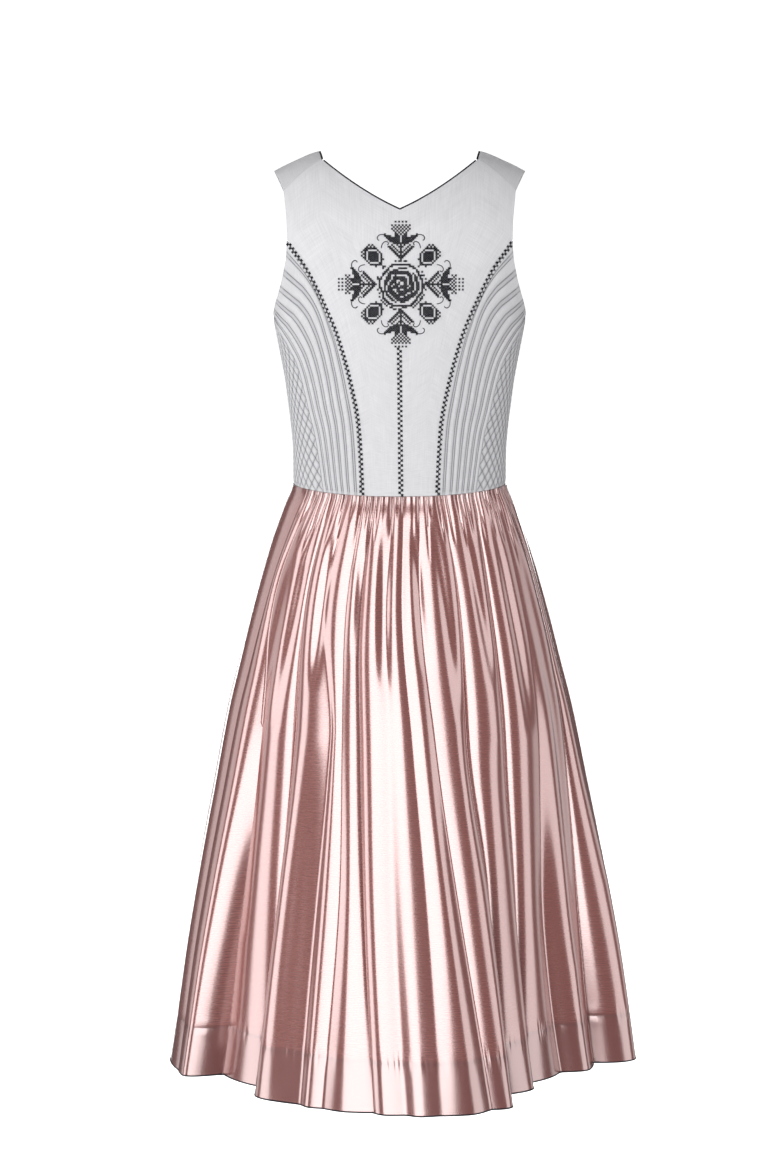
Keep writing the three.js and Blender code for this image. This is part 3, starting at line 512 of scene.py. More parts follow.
def round_cord(name, centres, first, radius, material, sides=10):
    """Closed round cord along its centres; first is one section direction at each."""
    along = np.gradient(centres, axis=0)
    along /= np.linalg.norm(along, axis=1, keepdims=True)
    second = np.cross(along, first)
    second /= np.linalg.norm(second, axis=1, keepdims=True)
    turn = np.linspace(0, 2 * np.pi, sides, endpoint=False)
    rings = centres[:, None] + radius * (
        first[:, None] * np.cos(turn)[None, :, None] + second[:, None] * np.sin(turn)[None, :, None])
    count = len(centres)
    index = np.arange(count * sides).reshape(count, sides)
    next_side = np.roll(index, -1, axis=1)
    faces = np.stack([index[:-1], next_side[:-1], next_side[1:], index[1:]], axis=-1).reshape(-1, 4).tolist()
    faces += [index[0, ::-1].tolist(), index[-1].tolist()]
    u = np.repeat(arc(centres), sides)
    v = np.tile(turn * radius, count)
    mesh = dress_mesh(name, rings.reshape(-1, 3), faces, np.stack([u, v], axis=-1))
    return new_piece(name, mesh, material)


def worn(piece, slot, *nodes):
    """The piece belongs to the dress, in the place of its plain solids."""
    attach(piece, "root")
    if nodes:
        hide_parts(*nodes)
    return piece


# Finishes

class Value:
    """A number in a shader; its operators add Math nodes."""

    def __init__(self, shader, socket):
        self.shader, self.socket = shader, socket

    def math(self, operation, *others, swap=False):
        values = [*others, self] if swap else [self, *others]
        return self.shader.add("ShaderNodeMath", {"operation": operation}, *values)

    def __add__(self, other):
        return self.math("ADD", other)

    def __sub__(self, other):
        return self.math("SUBTRACT", other)

    def __rsub__(self, other):
        return self.math("SUBTRACT", other, swap=True)

    def __mul__(self, other):
        return self.math("MULTIPLY", other)

    __radd__, __rmul__ = __add__, __mul__


class Finish:
    """A material being built."""

    def __init__(self, name):
        self.material = bpy.data.materials.new(name)
        self.material.use_nodes = True
        self.tree = self.material.node_tree
        self.tree.nodes.clear()

    def add(self, kind, settings=None, *values, output=0, **sockets):
        """A node, its settings first, then what its sockets hold; gives one output as a Value."""
        node = self.tree.nodes.new(kind)
        for name, setting in (settings or {}).items():
            setattr(node, name, setting)
        for key, value in [*enumerate(values), *((k.replace("_", " "), v) for k, v in sockets.items())]:
            self.feed(node.inputs[key], value)
        return Value(self, node.outputs[output])

    def feed(self, socket, value):
        if isinstance(value, Value):
            self.tree.links.new(value.socket, socket)
        else:
            socket.default_value = value

    def cloth_place(self, across=1, up=1):
        """The cloth's own coordinates, in threads: across and up are threads in a metre."""
        place = self.add("ShaderNodeUVMap", {"uv_map": "cloth"})
        return self.add("ShaderNodeVectorMath", {"operation": "MULTIPLY"}, place, (across, up, 0))

    def stripes(self, direction, place, distortion):
        return self.add("ShaderNodeTexWave", {"wave_type": "BANDS", "bands_direction": direction},
                        Vector=place, Scale=1.0, Distortion=distortion)

    def noise(self, place, detail=2.0, roughness=0.5):
        return self.add("ShaderNodeTexNoise", {}, Vector=place, Scale=1.0, Detail=detail, Roughness=roughness)

    def mix_colours(self, first, second, share):
        node = self.tree.nodes.new("ShaderNodeMix")
        node.data_type = "RGBA"
        self.feed(node.inputs["Factor"], share)
        self.feed(node.inputs[6], first)
        self.feed(node.inputs[7], second)
        return Value(self, node.outputs[2])

    def bump(self, height, distance, strength):
        return self.add("ShaderNodeBump", {}, Strength=strength, Distance=distance, Height=height)

    def principled(self, **sockets):
        shader = self.add("ShaderNodeBsdfPrincipled", {}, **sockets)
        out = self.tree.nodes.new("ShaderNodeOutputMaterial")
        self.tree.links.new(shader.socket, out.inputs["Surface"])
        return self.material


LINEN_THREADS = 1900      # in a metre


def linen():
    """Pale grey-white plain weave with uneven threads, and painted shade where the shade attribute is high.
    """
    finish = Finish("linen")
    fine = LINEN_THREADS / 6.28
    warp, weft = (finish.stripes(direction, finish.cloth_place(fine, fine), 0.6) for direction in "XY")
    slub_across = finish.noise(finish.cloth_place(35, 900))
    slub_up = finish.noise(finish.cloth_place(900, 35))
    cloudy = finish.noise(finish.cloth_place(60, 60), 3.0)
    slub = slub_across * 0.5 + slub_up * 0.5
    shade = (slub - 0.5) * 1.1 + (cloudy - 0.5) * 0.25 + (warp * weft) * 0.12 + 0.45
    colour = finish.mix_colours((0.51, 0.51, 0.53, 1), (0.76, 0.755, 0.77, 1), shade)
    # Painted shade: the shade attribute darkens the linen in the quilting grooves, along the shoulder seams
    # and over the shoulders.
    groove = finish.add("ShaderNodeAttribute", {"attribute_name": "shade"}, output=2)
    colour = finish.mix_colours(colour, (0.16, 0.16, 0.175, 1), groove * 0.72)
    weave = finish.bump(warp + weft + slub * 1.5, 0.00012, 0.5)
    return finish.principled(Base_Color=colour, Roughness=0.85, Normal=weave, Sheen_Weight=0.15)


def thread(name, fibres, dark, light, **sockets):
    """Spun thread, its fibres in a metre and its darkest and lightest colours given."""
    finish = Finish(name)
    fibre = finish.noise(finish.add("ShaderNodeVectorMath", {"operation": "MULTIPLY"},
                                    finish.add("ShaderNodeTexCoord", {}, output=3), (fibres,) * 3))
    colour = finish.mix_colours(dark, light, fibre)
    return finish.principled(Base_Color=colour, Normal=finish.bump(fibre, 0.0001, 0.4), **sockets)


def black_thread():
    return thread("black_thread", 4000, (0.008, 0.008, 0.011, 1), (0.03, 0.03, 0.037, 1),
                  Roughness=0.8, IOR=1.15)


# Grey quilting thread: partly the thread's own colour, partly painted shade, as it stands in for the shade in
# the quilting grooves.
def grey_thread_and_groove_shade():
    return thread("grey_thread_and_groove_shade", 3000, (0.14, 0.14, 0.155, 1), (0.25, 0.25, 0.27, 1), Roughness=0.6)


def black_piping():
    """Bias-cut black cotton round a cord."""
    finish = Finish("black_piping")
    twill = finish.stripes("DIAGONAL", finish.cloth_place(500, 500), 0.4)
    colour = finish.mix_colours((0.008, 0.008, 0.011, 1), (0.026, 0.026, 0.032, 1), twill)
    weave = finish.bump(twill, 0.00012, 0.5)
    return finish.principled(Base_Color=colour, Roughness=0.7, IOR=1.2, Normal=weave)


def satin():
    """Dusty rose satin, glossy, with fine crosswise slubs, and painted shade where the shade attribute is
    high.
    """
    finish = Finish("satin")
    slub = finish.noise(finish.cloth_place(40, 1400), 3.0, 0.6)
    fleck = finish.noise(finish.cloth_place(90, 2600), 2.0, 0.5)
    cloudy = finish.noise(finish.cloth_place(9, 5), 2.0)
    shade = (slub - 0.5) * 0.9 + (fleck - 0.5) * 0.5 + (cloudy - 0.5) * 0.3 + 0.5
    colour = finish.mix_colours((0.26, 0.072, 0.062, 1), (0.41, 0.145, 0.126, 1), shade)
    # Painted shade: the shade attribute darkens a thin line under the waist seam; it also darkens the band
    # below the hem's fold and a line along its stitching.
    seam = finish.add("ShaderNodeAttribute", {"attribute_name": "shade"}, output=2)
    colour = finish.mix_colours(colour, (0.10, 0.035, 0.035, 1), seam)
    rough = (fleck - 0.5) * 0.12 + 0.215
    bump = finish.bump(slub + fleck * 0.6, 0.00012, 0.18)
    return finish.principled(Base_Color=colour, Roughness=rough, Metallic=0.3, IOR=2.4, Normal=bump,
                             Coat_Weight=0.9, Coat_Roughness=0.185, Coat_IOR=2.2)


# Bodice

def bodice_wall(name, outer, plain, step, material, shade=None):
    """A bodice piece: its outer grid, and the plain one that its inside follows."""
    return shell(name, outer, plain - normals(plain) * BODICE_WALL, step, material, shade)


def soft_creases(points, normal, creases):
    """Presses shallow troughs in: x and z of the middle, half length, half width, depth, tilt in degrees."""
    x, z = points[..., 0], points[..., 2]
    for mid_x, mid_z, long, wide, depth, tilt in creases:
        dx, dz = x - mid_x, z - mid_z
        c, s = math.cos(math.radians(tilt)), math.sin(math.radians(tilt))
        run, off = dx * c + dz * s, dz * c - dx * s
        points = points - normal * (depth * np.exp(-(run / long) ** 2 - (off / wide) ** 2))[..., None]
    return points


BACK_CREASES = [
    (-118, -128, 26, 6, 0.9, -35), (118, -132, 26, 6, 0.9, 35), (-30, -392, 34, 6, 0.5, 4),
    (34, -398, 30, 5, 0.5, -6), (-60, -95, 40, 14, 0.8, -18), (62, -98, 40, 14, 0.8, 18),
    (4, -320, 8, 60, -0.5, 0),
]


def back_panel(material):
    across, up = grid(np.linspace(-1, 1, 121), np.linspace(0, 1, 161))
    plain = back_sheet(across, up)
    plain[..., 0] -= np.sign(across) * (np.abs(across) > 0.999) * SEAM_GAP / 2
    outer = soft_creases(plain, normals(plain), BACK_CREASES)
    from_top = arc(plain[:, 20])[-1] * (1 - up)
    # Painted shade: a thin dark line just below the top edge, where the shoulder seam is, beyond BACK_TIP.
    seam = 0.5 * np.exp(-((from_top - 1.2) / 0.9) ** 2) * (np.abs(plain[..., 0]) > BACK_TIP)
    piece = worn(bodice_wall("back_panel_linen", outer, plain, 4, material, seam), "linen", "back_panel")
    cut_size(plain)


STITCH_PAIRS = [0.15, 0.32, 0.475, 0.62, 0.76, 0.89]
PAIR_HALF = 0.023
RIB_RISE, DIAMOND_RISE = 1.7, 1.35
DIAMOND_COLUMNS, DIAMOND_ROWS = 20, 26
CELL_STEPS = 6


def rib_lines():
    """Shares of the stitch lines between the ribs."""
    return [pair + side * PAIR_HALF for pair in STITCH_PAIRS for side in (-1, 1)]


def rib_relief(across):
    """Height of the padding between the stitch lines, low between the two of a pair."""
    edges = [0, *rib_lines(), 1]
    relief = np.zeros_like(across)
    for k, (start, end) in enumerate(zip(edges, edges[1:])):
        t = np.clip((across - start) / (end - start), 0, 1)
        high = 0.3 if k % 2 else (0.6 if k == 0 else 1)
        relief += high * np.sin(np.pi * t) ** 0.7 * ((across >= start) & (across <= end))
    return relief * RIB_RISE


def diamond_relief(across, up):
    """Height of the padding between stitch lines that cross as diamonds."""
    u, v = across * DIAMOND_COLUMNS, up * DIAMOND_ROWS
    a, b = np.abs(np.sin(np.pi * (u + v) / 2)), np.abs(np.sin(np.pi * (u - v) / 2))
    return DIAMOND_RISE * (a * b) ** 0.55


def side_grids():
    """Shares across and up of a side panel, ribs from 0 to 1 and diamonds from 1 to 2."""
    edges = [0, *rib_lines(), 1]
    ribs = np.concatenate([
        np.linspace(a, b, 5 if k % 2 else 13)[:-1] for k, (a, b) in enumerate(zip(edges, edges[1:]))])
    diamonds = 1 + np.linspace(0, 1, DIAMOND_COLUMNS * CELL_STEPS + 1)
    return grid(np.concatenate([ribs, diamonds]), np.linspace(0, 1, DIAMOND_ROWS * CELL_STEPS + 1))


def side_plain(across, up):
    ribs = rib_sheet(np.clip(across, 0, 1), up)
    diamonds = diamond_sheet(np.clip(across - 1, 0, 1), up)
    return np.where((across > 1)[..., None], diamonds, ribs)


def side_outer(across, up):
    plain = side_plain(across, up)
    edge = ease(up * 14) * ease((1 - up) * 14)
    diamonds = diamond_relief(across - 1, up) * ease((2 - across) * 20)
    relief = np.where(across > 1, diamonds, rib_relief(across) * edge)
    return plain + normals(plain) * (relief * ease((1 - up) * 30) * ease(up * 30))[..., None]


def side_panel(side, material):
    across, up = side_grids()
    plain, outer = side_plain(across, up), side_outer(across, up)
    for points in (plain, outer):
        points[:, 0, 0] += SEAM_GAP / 2
        points[:, -1, 1] -= SEAM_GAP / 2
    if side == "left":
        plain, outer = mirror(plain), mirror(outer)
    # Painted shade: darker in the grooves between the padding, and a little darker all over the panel.
    ribs = 1 - rib_relief(across) / RIB_RISE
    diamonds = 1 - diamond_relief(across - 1, up) / DIAMOND_RISE
    groove = np.clip(np.where(across > 1, diamonds * 1.1, ribs), 0, 1) ** np.where(across > 1, 1.6, 3.4)
    groove = np.clip(0.1 + 0.9 * groove, 0, 1)
    name = f"side_panel_{side}"
    piece = worn(bodice_wall(name + "_linen", outer, plain, 4, material, groove), "linen", name)
    cut_size(plain)


FRONT_CREASES = [
    (112, -150, 30, 7, 0.9, 40), (60, -300, 34, 9, 0.8, 78), (92, -330, 30, 8, 0.6, 70),
    (40, -395, 26, 6, 0.5, 5), (24, -200, 40, 10, 0.6, 10),
]


def front_panel(side, material):
    across, at = grid(np.linspace(0, 1, 61), np.concatenate([
        np.linspace(0, 0.2, 33)[:-1], np.linspace(0.2, 0.5, 49)[:-1], np.linspace(0.5, 1, 81)]))
    plain = front_sheet(across, at)
    x = mix(NECK_END, BACK_TIP, across[0])
    plain[0] = trunk_by_x(x, back_top(x))
    plain[0, :, 2] += SEAM_GAP * 0.8
    plain[-1, :, 2] = waist_height(plain[-1, :, 1])
    lower = at[:, 0] >= 0.5
    plain[lower, 0, 0] = SEAM_GAP / 2
    plain[lower, -1, 1] += SEAM_GAP / 2
    outer = soft_creases(plain, front_normals(plain), FRONT_CREASES)
    inner = plain - front_normals(plain) * BODICE_WALL
    if side == "left":
        outer, inner = mirror(outer), mirror(inner)
    name = f"front_{side}"
    # Painted shade: the top of the shoulder, which faces up, is a little darker.
    shoulder = 0.15 * (1 - ease((at - 0.08) / 0.1))
    piece = worn(shell(name + "_linen", outer, inner, 4, material, shoulder), "linen", name)
    cut_size(plain)


def front_normals(points):
    """Normals of a front, up over the shoulder and outwards below it."""
    normal = normals(points)
    top = (points[..., 2] > -30)
    away = np.stack([points[..., 0], points[..., 1], np.where(top, 300, 0)], axis=-1)
    return normal * np.sign((normal * away).sum(axis=-1))[..., None]


# Piping

def edge_cord(name, edge, within, normal, material):
    """Cord just beyond the edge of a panel: lines of points on the edge and just inside it."""
    along = np.gradient(edge, axis=0)
    along /= np.linalg.norm(along, axis=1, keepdims=True)
    out = edge - within
    out -= along * (out * along).sum(axis=1, keepdims=True)
    out /= np.linalg.norm(out, axis=1, keepdims=True)
    centres = edge + out * (PIPING_RADIUS + SEAM_GAP / 2) - normal * BODICE_WALL / 2
    return round_cord(name, centres, out, PIPING_RADIUS, material, 12)


def back_neck_piping(material):
    reach = NECK_END / BACK_TIP
    across, up = grid(np.linspace(-reach * 0.98, reach * 0.98, 97), np.array([0.97, 0.98, 1.0]))
    points = back_sheet(across, up)
    piece = edge_cord("neck_piping_back_cord", points[2], points[1], normals(points)[1], material)
    worn(piece, "piping", "neck_piping_back")


def front_neck_piping(side, material):
    across, at = grid(np.array([0, 0.05, 0.1]), np.linspace(0.012, 0.497, 110))
    points = front_sheet(across, at)
    normal = front_normals(points)
    if side == "left":
        points, normal = mirror(points), mirror(normal)
    name = f"neck_piping_{side}"
    worn(edge_cord(name + "_cord", points[:, 0], points[:, 1], normal[:, 1], material), "piping", name)


def hem_piping(side, folds, material):
    count = len(folds["out"]) - 1
    at = np.linspace(0.02, count - 0.02, count * 16)
    line = skirt_sheet(folds, at, np.array([HEM_LINE]))[0]
    along = np.gradient(line, axis=0)
    along /= np.linalg.norm(along, axis=1, keepdims=True)
    outward = np.stack([along[:, 1], -along[:, 0], np.zeros(len(line))], axis=-1)
    centres = line - outward * SATIN_WALL / 2
    centres[:, 2] = HEM_LINE - PIPING_RADIUS * 0.8
    piece = round_cord(f"hem_piping_{side}_cord", centres, outward, PIPING_RADIUS, material, 8)
    worn(piece, "piping", f"hem_piping_{side}")


# Skirt

HEM_DEEP = 60           # hem turned up inside
HEM_FOLD = HEM_LINE + HEM_DEEP


def skirt_rows():
    return np.concatenate([
        np.linspace(-404, -440, 17)[:-1], np.linspace(-440, -560, 29)[:-1],
        np.linspace(-560, HEM_FOLD + 4, 80), HEM_FOLD + np.array([1.2, 0, -1.2, -4]),
        np.linspace(HEM_FOLD - 10, HEM_LINE, 9)])


def hem_puckers(at, z):
    """The pull of the hem's stitching: a shallow groove, with small uneven puckers round it."""
    near = np.exp(-((z - HEM_FOLD) / 2.2) ** 2)
    wide = np.exp(-((z - HEM_FOLD) / 9) ** 2)
    wave = np.sin(at * 61) * np.sin(at * 23 + 1) + 0.6 * np.sin(at * 97 + 2)
    return 0.35 * near + 0.3 * wide * wave


def skirt_piece(side, folds, seed, material):
    steps = [int(max(16, gathers * 8)) for gathers in folds["gathers"][:-1]]
    at = [i + np.linspace(0, 1, 1 + count)[:-1] for i, count in enumerate(steps)]
    at = np.concatenate([*at, [len(folds["out"]) - 1]])
    at = np.concatenate([at, np.full((-(len(at) - 1)) % 2, at[-1])])
    z = skirt_rows()
    outer = skirt_sheet(folds, at, z, seed)
    normal = normals(outer)
    inner = outer - normal * SATIN_WALL
    outer = outer - normal * hem_puckers(at[None, :], z[:, None])[..., None]
    for points in (outer, inner):
        points[0, :, 2] = waist_height(points[0, :, 1]) - SEAM_GAP
        points[-1, :, 2] = HEM_LINE
    # Painted shade: a dark line under the waist seam; the band below the hem's fold is also darker, with a
    # dark line along its stitching.
    stitched = 0.4 * np.exp(-((z - HEM_FOLD) / 1.5) ** 2)
    shade = 0.75 * np.exp((z - WAIST_SIDE) / 5) + 0.22 * (z < HEM_FOLD) + stitched
    shade = np.broadcast_to(shade[:, None], outer.shape[:2])
    name = f"skirt_{side}"
    piece = worn(shell(name + "_satin", outer, inner, 2, material, shade), "satin", name)
    cut_size(outer)


# Stitches

def stitch_tree(crossed, material):
    """A node tree that lays a short thread, or two crossed ones, on every point."""
    tree = bpy.data.node_groups.new("stitches", "GeometryNodeTree")
    sizes = {}
    tree.interface.new_socket("Geometry", in_out="INPUT", socket_type="NodeSocketGeometry")
    for name in ("Length", "Thickness", "Rise"):
        made = tree.interface.new_socket(name, in_out="INPUT", socket_type="NodeSocketFloat")
        sizes[name] = made.identifier
    tree.interface.new_socket("Geometry", in_out="OUTPUT", socket_type="NodeSocketGeometry")

    def node(kind, settings=(), links=()):
        made = tree.nodes.new(kind)
        for name, setting in dict(settings).items():
            setattr(made, name, setting)
        for key, value in dict(links).items():
            if isinstance(value, bpy.types.NodeSocket):
                tree.links.new(value, made.inputs[key])
            else:
                made.inputs[key].default_value = value
        return made

    def scaled(socket, factor):
        return node("ShaderNodeMath", {"operation": "MULTIPLY"}, {0: socket, 1: factor}).outputs[0]

    given = node("NodeGroupInput").outputs
    ends = [node("ShaderNodeCombineXYZ", (), {"X": scaled(given["Length"], share)}).outputs[0]
            for share in (-0.5, 0.5)]
    top = node("ShaderNodeCombineXYZ", (), {"Z": scaled(given["Rise"], 2)}).outputs[0]
    line = node("GeometryNodeCurveQuadraticBezier", (), {
        "Resolution": 3, "Start": ends[0], "Middle": top, "End": ends[1]}).outputs[0]
    round_ = node("GeometryNodeCurvePrimitiveCircle", (), {
        "Resolution": 4, "Radius": scaled(given["Thickness"], 0.5)})
    thread = node("GeometryNodeCurveToMesh", (), {
        "Curve": line, "Profile Curve": round_.outputs[0], "Fill Caps": True}).outputs[0]
    if crossed:
        turned = [node("GeometryNodeTransform", (), {
            "Geometry": thread, "Rotation": (0, 0, math.radians(side * 45))}) for side in (1, -1)]
        joined = node("GeometryNodeJoinGeometry")
        for one in turned:
            tree.links.new(one.outputs[0], joined.inputs[0])
        thread = joined.outputs[0]

    def attribute(name):
        kind = {"data_type": "FLOAT_VECTOR"}
        return node("GeometryNodeInputNamedAttribute", kind, {"Name": name}).outputs[0]

    turn = node("FunctionNodeAxesToRotation", {"primary_axis": "Z", "secondary_axis": "X"}, {
        "Primary Axis": attribute("outward"), "Secondary Axis": attribute("along")}).outputs[0]
    laid = node("GeometryNodeInstanceOnPoints", (), {
        "Points": given["Geometry"], "Instance": thread, "Rotation": turn})
    real = node("GeometryNodeRealizeInstances", (), {0: laid.outputs[0]}).outputs[0]
    dyed = node("GeometryNodeSetMaterial", (), {"Geometry": real, "Material": material}).outputs[0]
    node("NodeGroupOutput", (), {0: dyed})
    return tree, sizes


def stitches(name, slot, points, outward, along, length, thickness, rise, material, crossed=False):
    """Threads laid along a cloth's surface: places, outward and along directions in millimetres."""
    seeds = bpy.data.meshes.new(name + "_seeds")
    seeds.from_pydata((points * MM).tolist(), [], [])
    for label, values in (("outward", outward), ("along", along)):
        seeds.attributes.new(label, "FLOAT_VECTOR", "POINT").data.foreach_set("vector", values.ravel())
    holder = bpy.data.objects.new(name + "_holder", seeds)
    bpy.context.scene.collection.objects.link(holder)
    tree, sizes = stitch_tree(crossed, material)
    modifier = holder.modifiers.new("stitches", "NODES")
    modifier.node_group = tree
    for label, value in (("Length", length), ("Thickness", thickness), ("Rise", rise)):
        modifier[sizes[label]] = value * MM
    shown = holder.evaluated_get(bpy.context.evaluated_depsgraph_get())
    mesh = bpy.data.meshes.new_from_object(shown)
    mesh.name = name
    mesh.polygons.foreach_set("use_smooth", np.ones(len(mesh.polygons), bool))
    holder.modifiers.clear()
    bpy.data.objects.remove(holder)
    worn(new_piece(name, mesh, None), slot)


def spaced(line, pitch):
    """Points one pitch apart along a line, with the directions of the line there."""
    run = arc(line)
    at = np.arange(pitch / 2, run[-1], pitch)

    def place(where):
        return np.stack([np.interp(where, run, line[:, k]) for k in range(3)], axis=-1)

    step = place(at + 0.5) - place(at - 0.5)
    return place(at), step / np.linalg.norm(step, axis=1, keepdims=True)


def back_surface(x, z):
    """Points on the outside of the back, and the outward normals there."""
    point = trunk_by_x(x, z)
    across = trunk_by_x(x + 1, z) - trunk_by_x(x - 1, z)
    up = trunk_by_x(x, z + 1) - trunk_by_x(x, z - 1)
    normal = np.cross(across, up)
    return point, normal / np.linalg.norm(normal, axis=-1, keepdims=True)


CHAIN_PITCH, CHAIN_STAGGER = 3.0, 1.5
CHAIN_STITCH, CHAIN_THREAD = 3.7, 1.5


def cross_chain(name, x, z, material):
    """Chain of staggered cross-stitches along a line on the back."""
    places, _ = back_surface(x, z)
    points, along = spaced(places, CHAIN_PITCH)
    _, outward = back_surface(points[:, 0], points[:, 2])
    side = np.cross(outward, along)
    stagger = np.where(np.arange(len(points)) % 2, 1, -1)[:, None] * CHAIN_STAGGER
    points = points + side * stagger + outward * 0.35
    stitches(name, "piping", points, outward, along, CHAIN_STITCH, CHAIN_THREAD, 0.3, material, crossed=True)


def seam_chains(material):
    z = np.linspace(ARMHOLE_Z - 2, waist_height(-WAIST_BACK) + 1, 200)
    for name, side in (("seam_chain_right", 1), ("seam_chain_left", -1)):
        cross_chain(name, side * back_edge(z), z, material)
    z = np.linspace(CENTRE_CHAIN_TOP, waist_height(-WAIST_BACK) + 1, 120)
    cross_chain("centre_chain", np.linspace(-0.6, 1.4, len(z)), z, material)


# Posy of cross-stitch on the back, charted in cells from its own middle

CELL, CROSS_STITCH, CROSS_THREAD = 2.12, 2.75, 1.05
CURL_PITCH, CURL_STITCH, CURL_THREAD = 1.5, 1.9, 1.0
POSY_X, POSY_Z = 1.2, -155.5
CENTRE_CHAIN_TOP = -231


def rose_cells():
    """Open rose: petals curling out from its heart, inside two scalloped rings."""
    cells = set()
    for i in range(-16, 17):
        for j in range(-16, 17):
            r, turn = math.hypot(i - 0.3, j + 0.6), math.atan2(j, i)
            petal = (r - 3.6 * turn / math.pi + 0.6 * math.sin(5 * turn)) % 3.6
            scallop = 11.4 + 0.9 * abs(math.cos(3 * turn + 0.4))
            ring = r - scallop
            if r < 10 and petal > (1.0 if j > -2 else 0.7):
                cells.add((i, j))
            if abs(ring) < 0.62 or (1.5 < ring < 2.5 and (i + 2 * j) % 3 and r < 14.2):
                cells.add((i, j))
    return cells


def spray_cells(reach):
    """Carnation on its stem: a lined and chequered fan, a parted heart, two leaves and a notched tip."""
    cells = set()
    for a in range(14, 36):
        for b in range(-10, 11):
            wide, chequer, over = abs(b), (a + b) % 2 == 0, a - 14 - abs(b)
            stem = b == 0 and a < 24
            fan = 0 < wide < 8 and a < 24 - 0.3 * wide and (over in (0, 1, 3) or (4 < over < 9 and chequer))
            heart = 0 < wide and ((wide - 2.2) / 1.9) ** 2 + ((a - 25.4) / 3.1) ** 2 < 1
            leaf = 3 <= wide <= 9 and abs(a - 23.6 - 0.6 * (wide - 3)) < 1.9 - 0.3 * abs(wide - 6)
            tip = 27 < a <= reach - 2 and wide < 4.9 - 0.3 * abs(a - 31) and chequer
            notched = (a > reach - 3 and wide in (1, 3)) or (wide == 5 and reach - 5 < a < reach - 1)
            notch = notched and chequer
            if stem or fan or heart or leaf or tip or notch:
                cells.add((b, a))
    return cells


def bud_cells():
    """Rosebud on the diagonal with a dark heart, an open rim and a chequered tip."""
    cells = set()
    for i in range(6, 26):
        for j in range(6, 26):
            a, b = (i + j - 31) / math.sqrt(2), (i - j) / math.sqrt(2)
            oval = math.hypot(a / 1.25, b)
            heart = oval < 2.9
            rim = 3.9 < oval < 4.9
            tip = 4.9 <= oval < 6.2 and a > 3.2 and (i + j) % 2 == 0
            stem = abs(b) < 0.4 and -9 < a < -5
            if heart or rim or tip or stem:
                cells.add((i, j))
    return cells


def posy_cells():
    """The rose with four sprays on its axes and four buds between them."""
    cells = rose_cells()
    for b, a in spray_cells(35):
        cells |= {(b, a), (b, -a)}
    for b, a in spray_cells(33):
        cells |= {(a, b), (-a, b)}
    for i, j in bud_cells():
        cells |= {(i, j), (-i, j), (i, -j), (-i, -j)}
    return np.array(sorted(cells), float)


def curl(start, size, hand, turn):
    """A tendril that runs out and winds in on itself, in cells."""
    t = np.linspace(0, 1, 40)
    wind = hand * (0.4 + 4.4 * t ** 1.4) + math.radians(turn)
    step = size * (1.15 - t) / 40
    run = np.stack([np.cos(wind) * step, np.sin(wind) * step], axis=-1)
    return np.array(start) + np.cumsum(run, axis=0)


def posy(material):
    cells = posy_cells()
    x, z = POSY_X + cells[:, 0] * CELL, POSY_Z + cells[:, 1] * CELL
    points, outward = back_surface(x, z)
    along = np.cross(np.array([0, 0, 1.0]), -outward)
    along /= np.linalg.norm(along, axis=1, keepdims=True)
    points = points + outward * 0.3
    stitches("posy_crosses", "piping", points, outward, along, CROSS_STITCH, CROSS_THREAD, 0.22, material,
             crossed=True)


CURLS = [((8, 27), 13, -1, 50), ((27, 8), 13, 1, 40), ((11, 20), 12, 1, 70), ((20, 11), 12, -1, 20)]


def posy_curls(material):
    """Back-stitched tendrils beside the sprays and buds, alike on all four sides."""
    gathered = []
    for start, size, hand, turn in CURLS:
        line = curl(start, size, hand, turn) * CELL
        for side_x in (1, -1):
            for side_z in (1, -1):
                x, z = POSY_X + side_x * line[:, 0], POSY_Z + side_z * line[:, 1]
                places, _ = back_surface(x, z)
                points, along = spaced(places, CURL_PITCH)
                _, outward = back_surface(points[:, 0], points[:, 2])
                gathered.append((points + outward * 0.25, outward, along))
    points, outward, along = (np.concatenate(part) for part in zip(*gathered))
    stitches("posy_tendrils", "piping", points, outward, along, CURL_STITCH, CURL_THREAD, 0.15, material)


QUILT_PITCH, QUILT_STITCH, QUILT_THREAD = 3.0, 2.5, 0.85
SLOPE_STEP = 0.004       # as a share of the panel


def side_slope(across, up, wide, tall):
    """Direction of a side panel's surface at a line of its points, over a small step across or up."""
    ahead = side_plain(np.clip(across[None, :] + wide, 0, 2), np.clip(up[None, :] + tall, 0, 1))
    behind = side_plain(np.clip(across[None, :] - wide, 0, 2), np.clip(up[None, :] - tall, 0, 1))
    return (ahead - behind)[0]


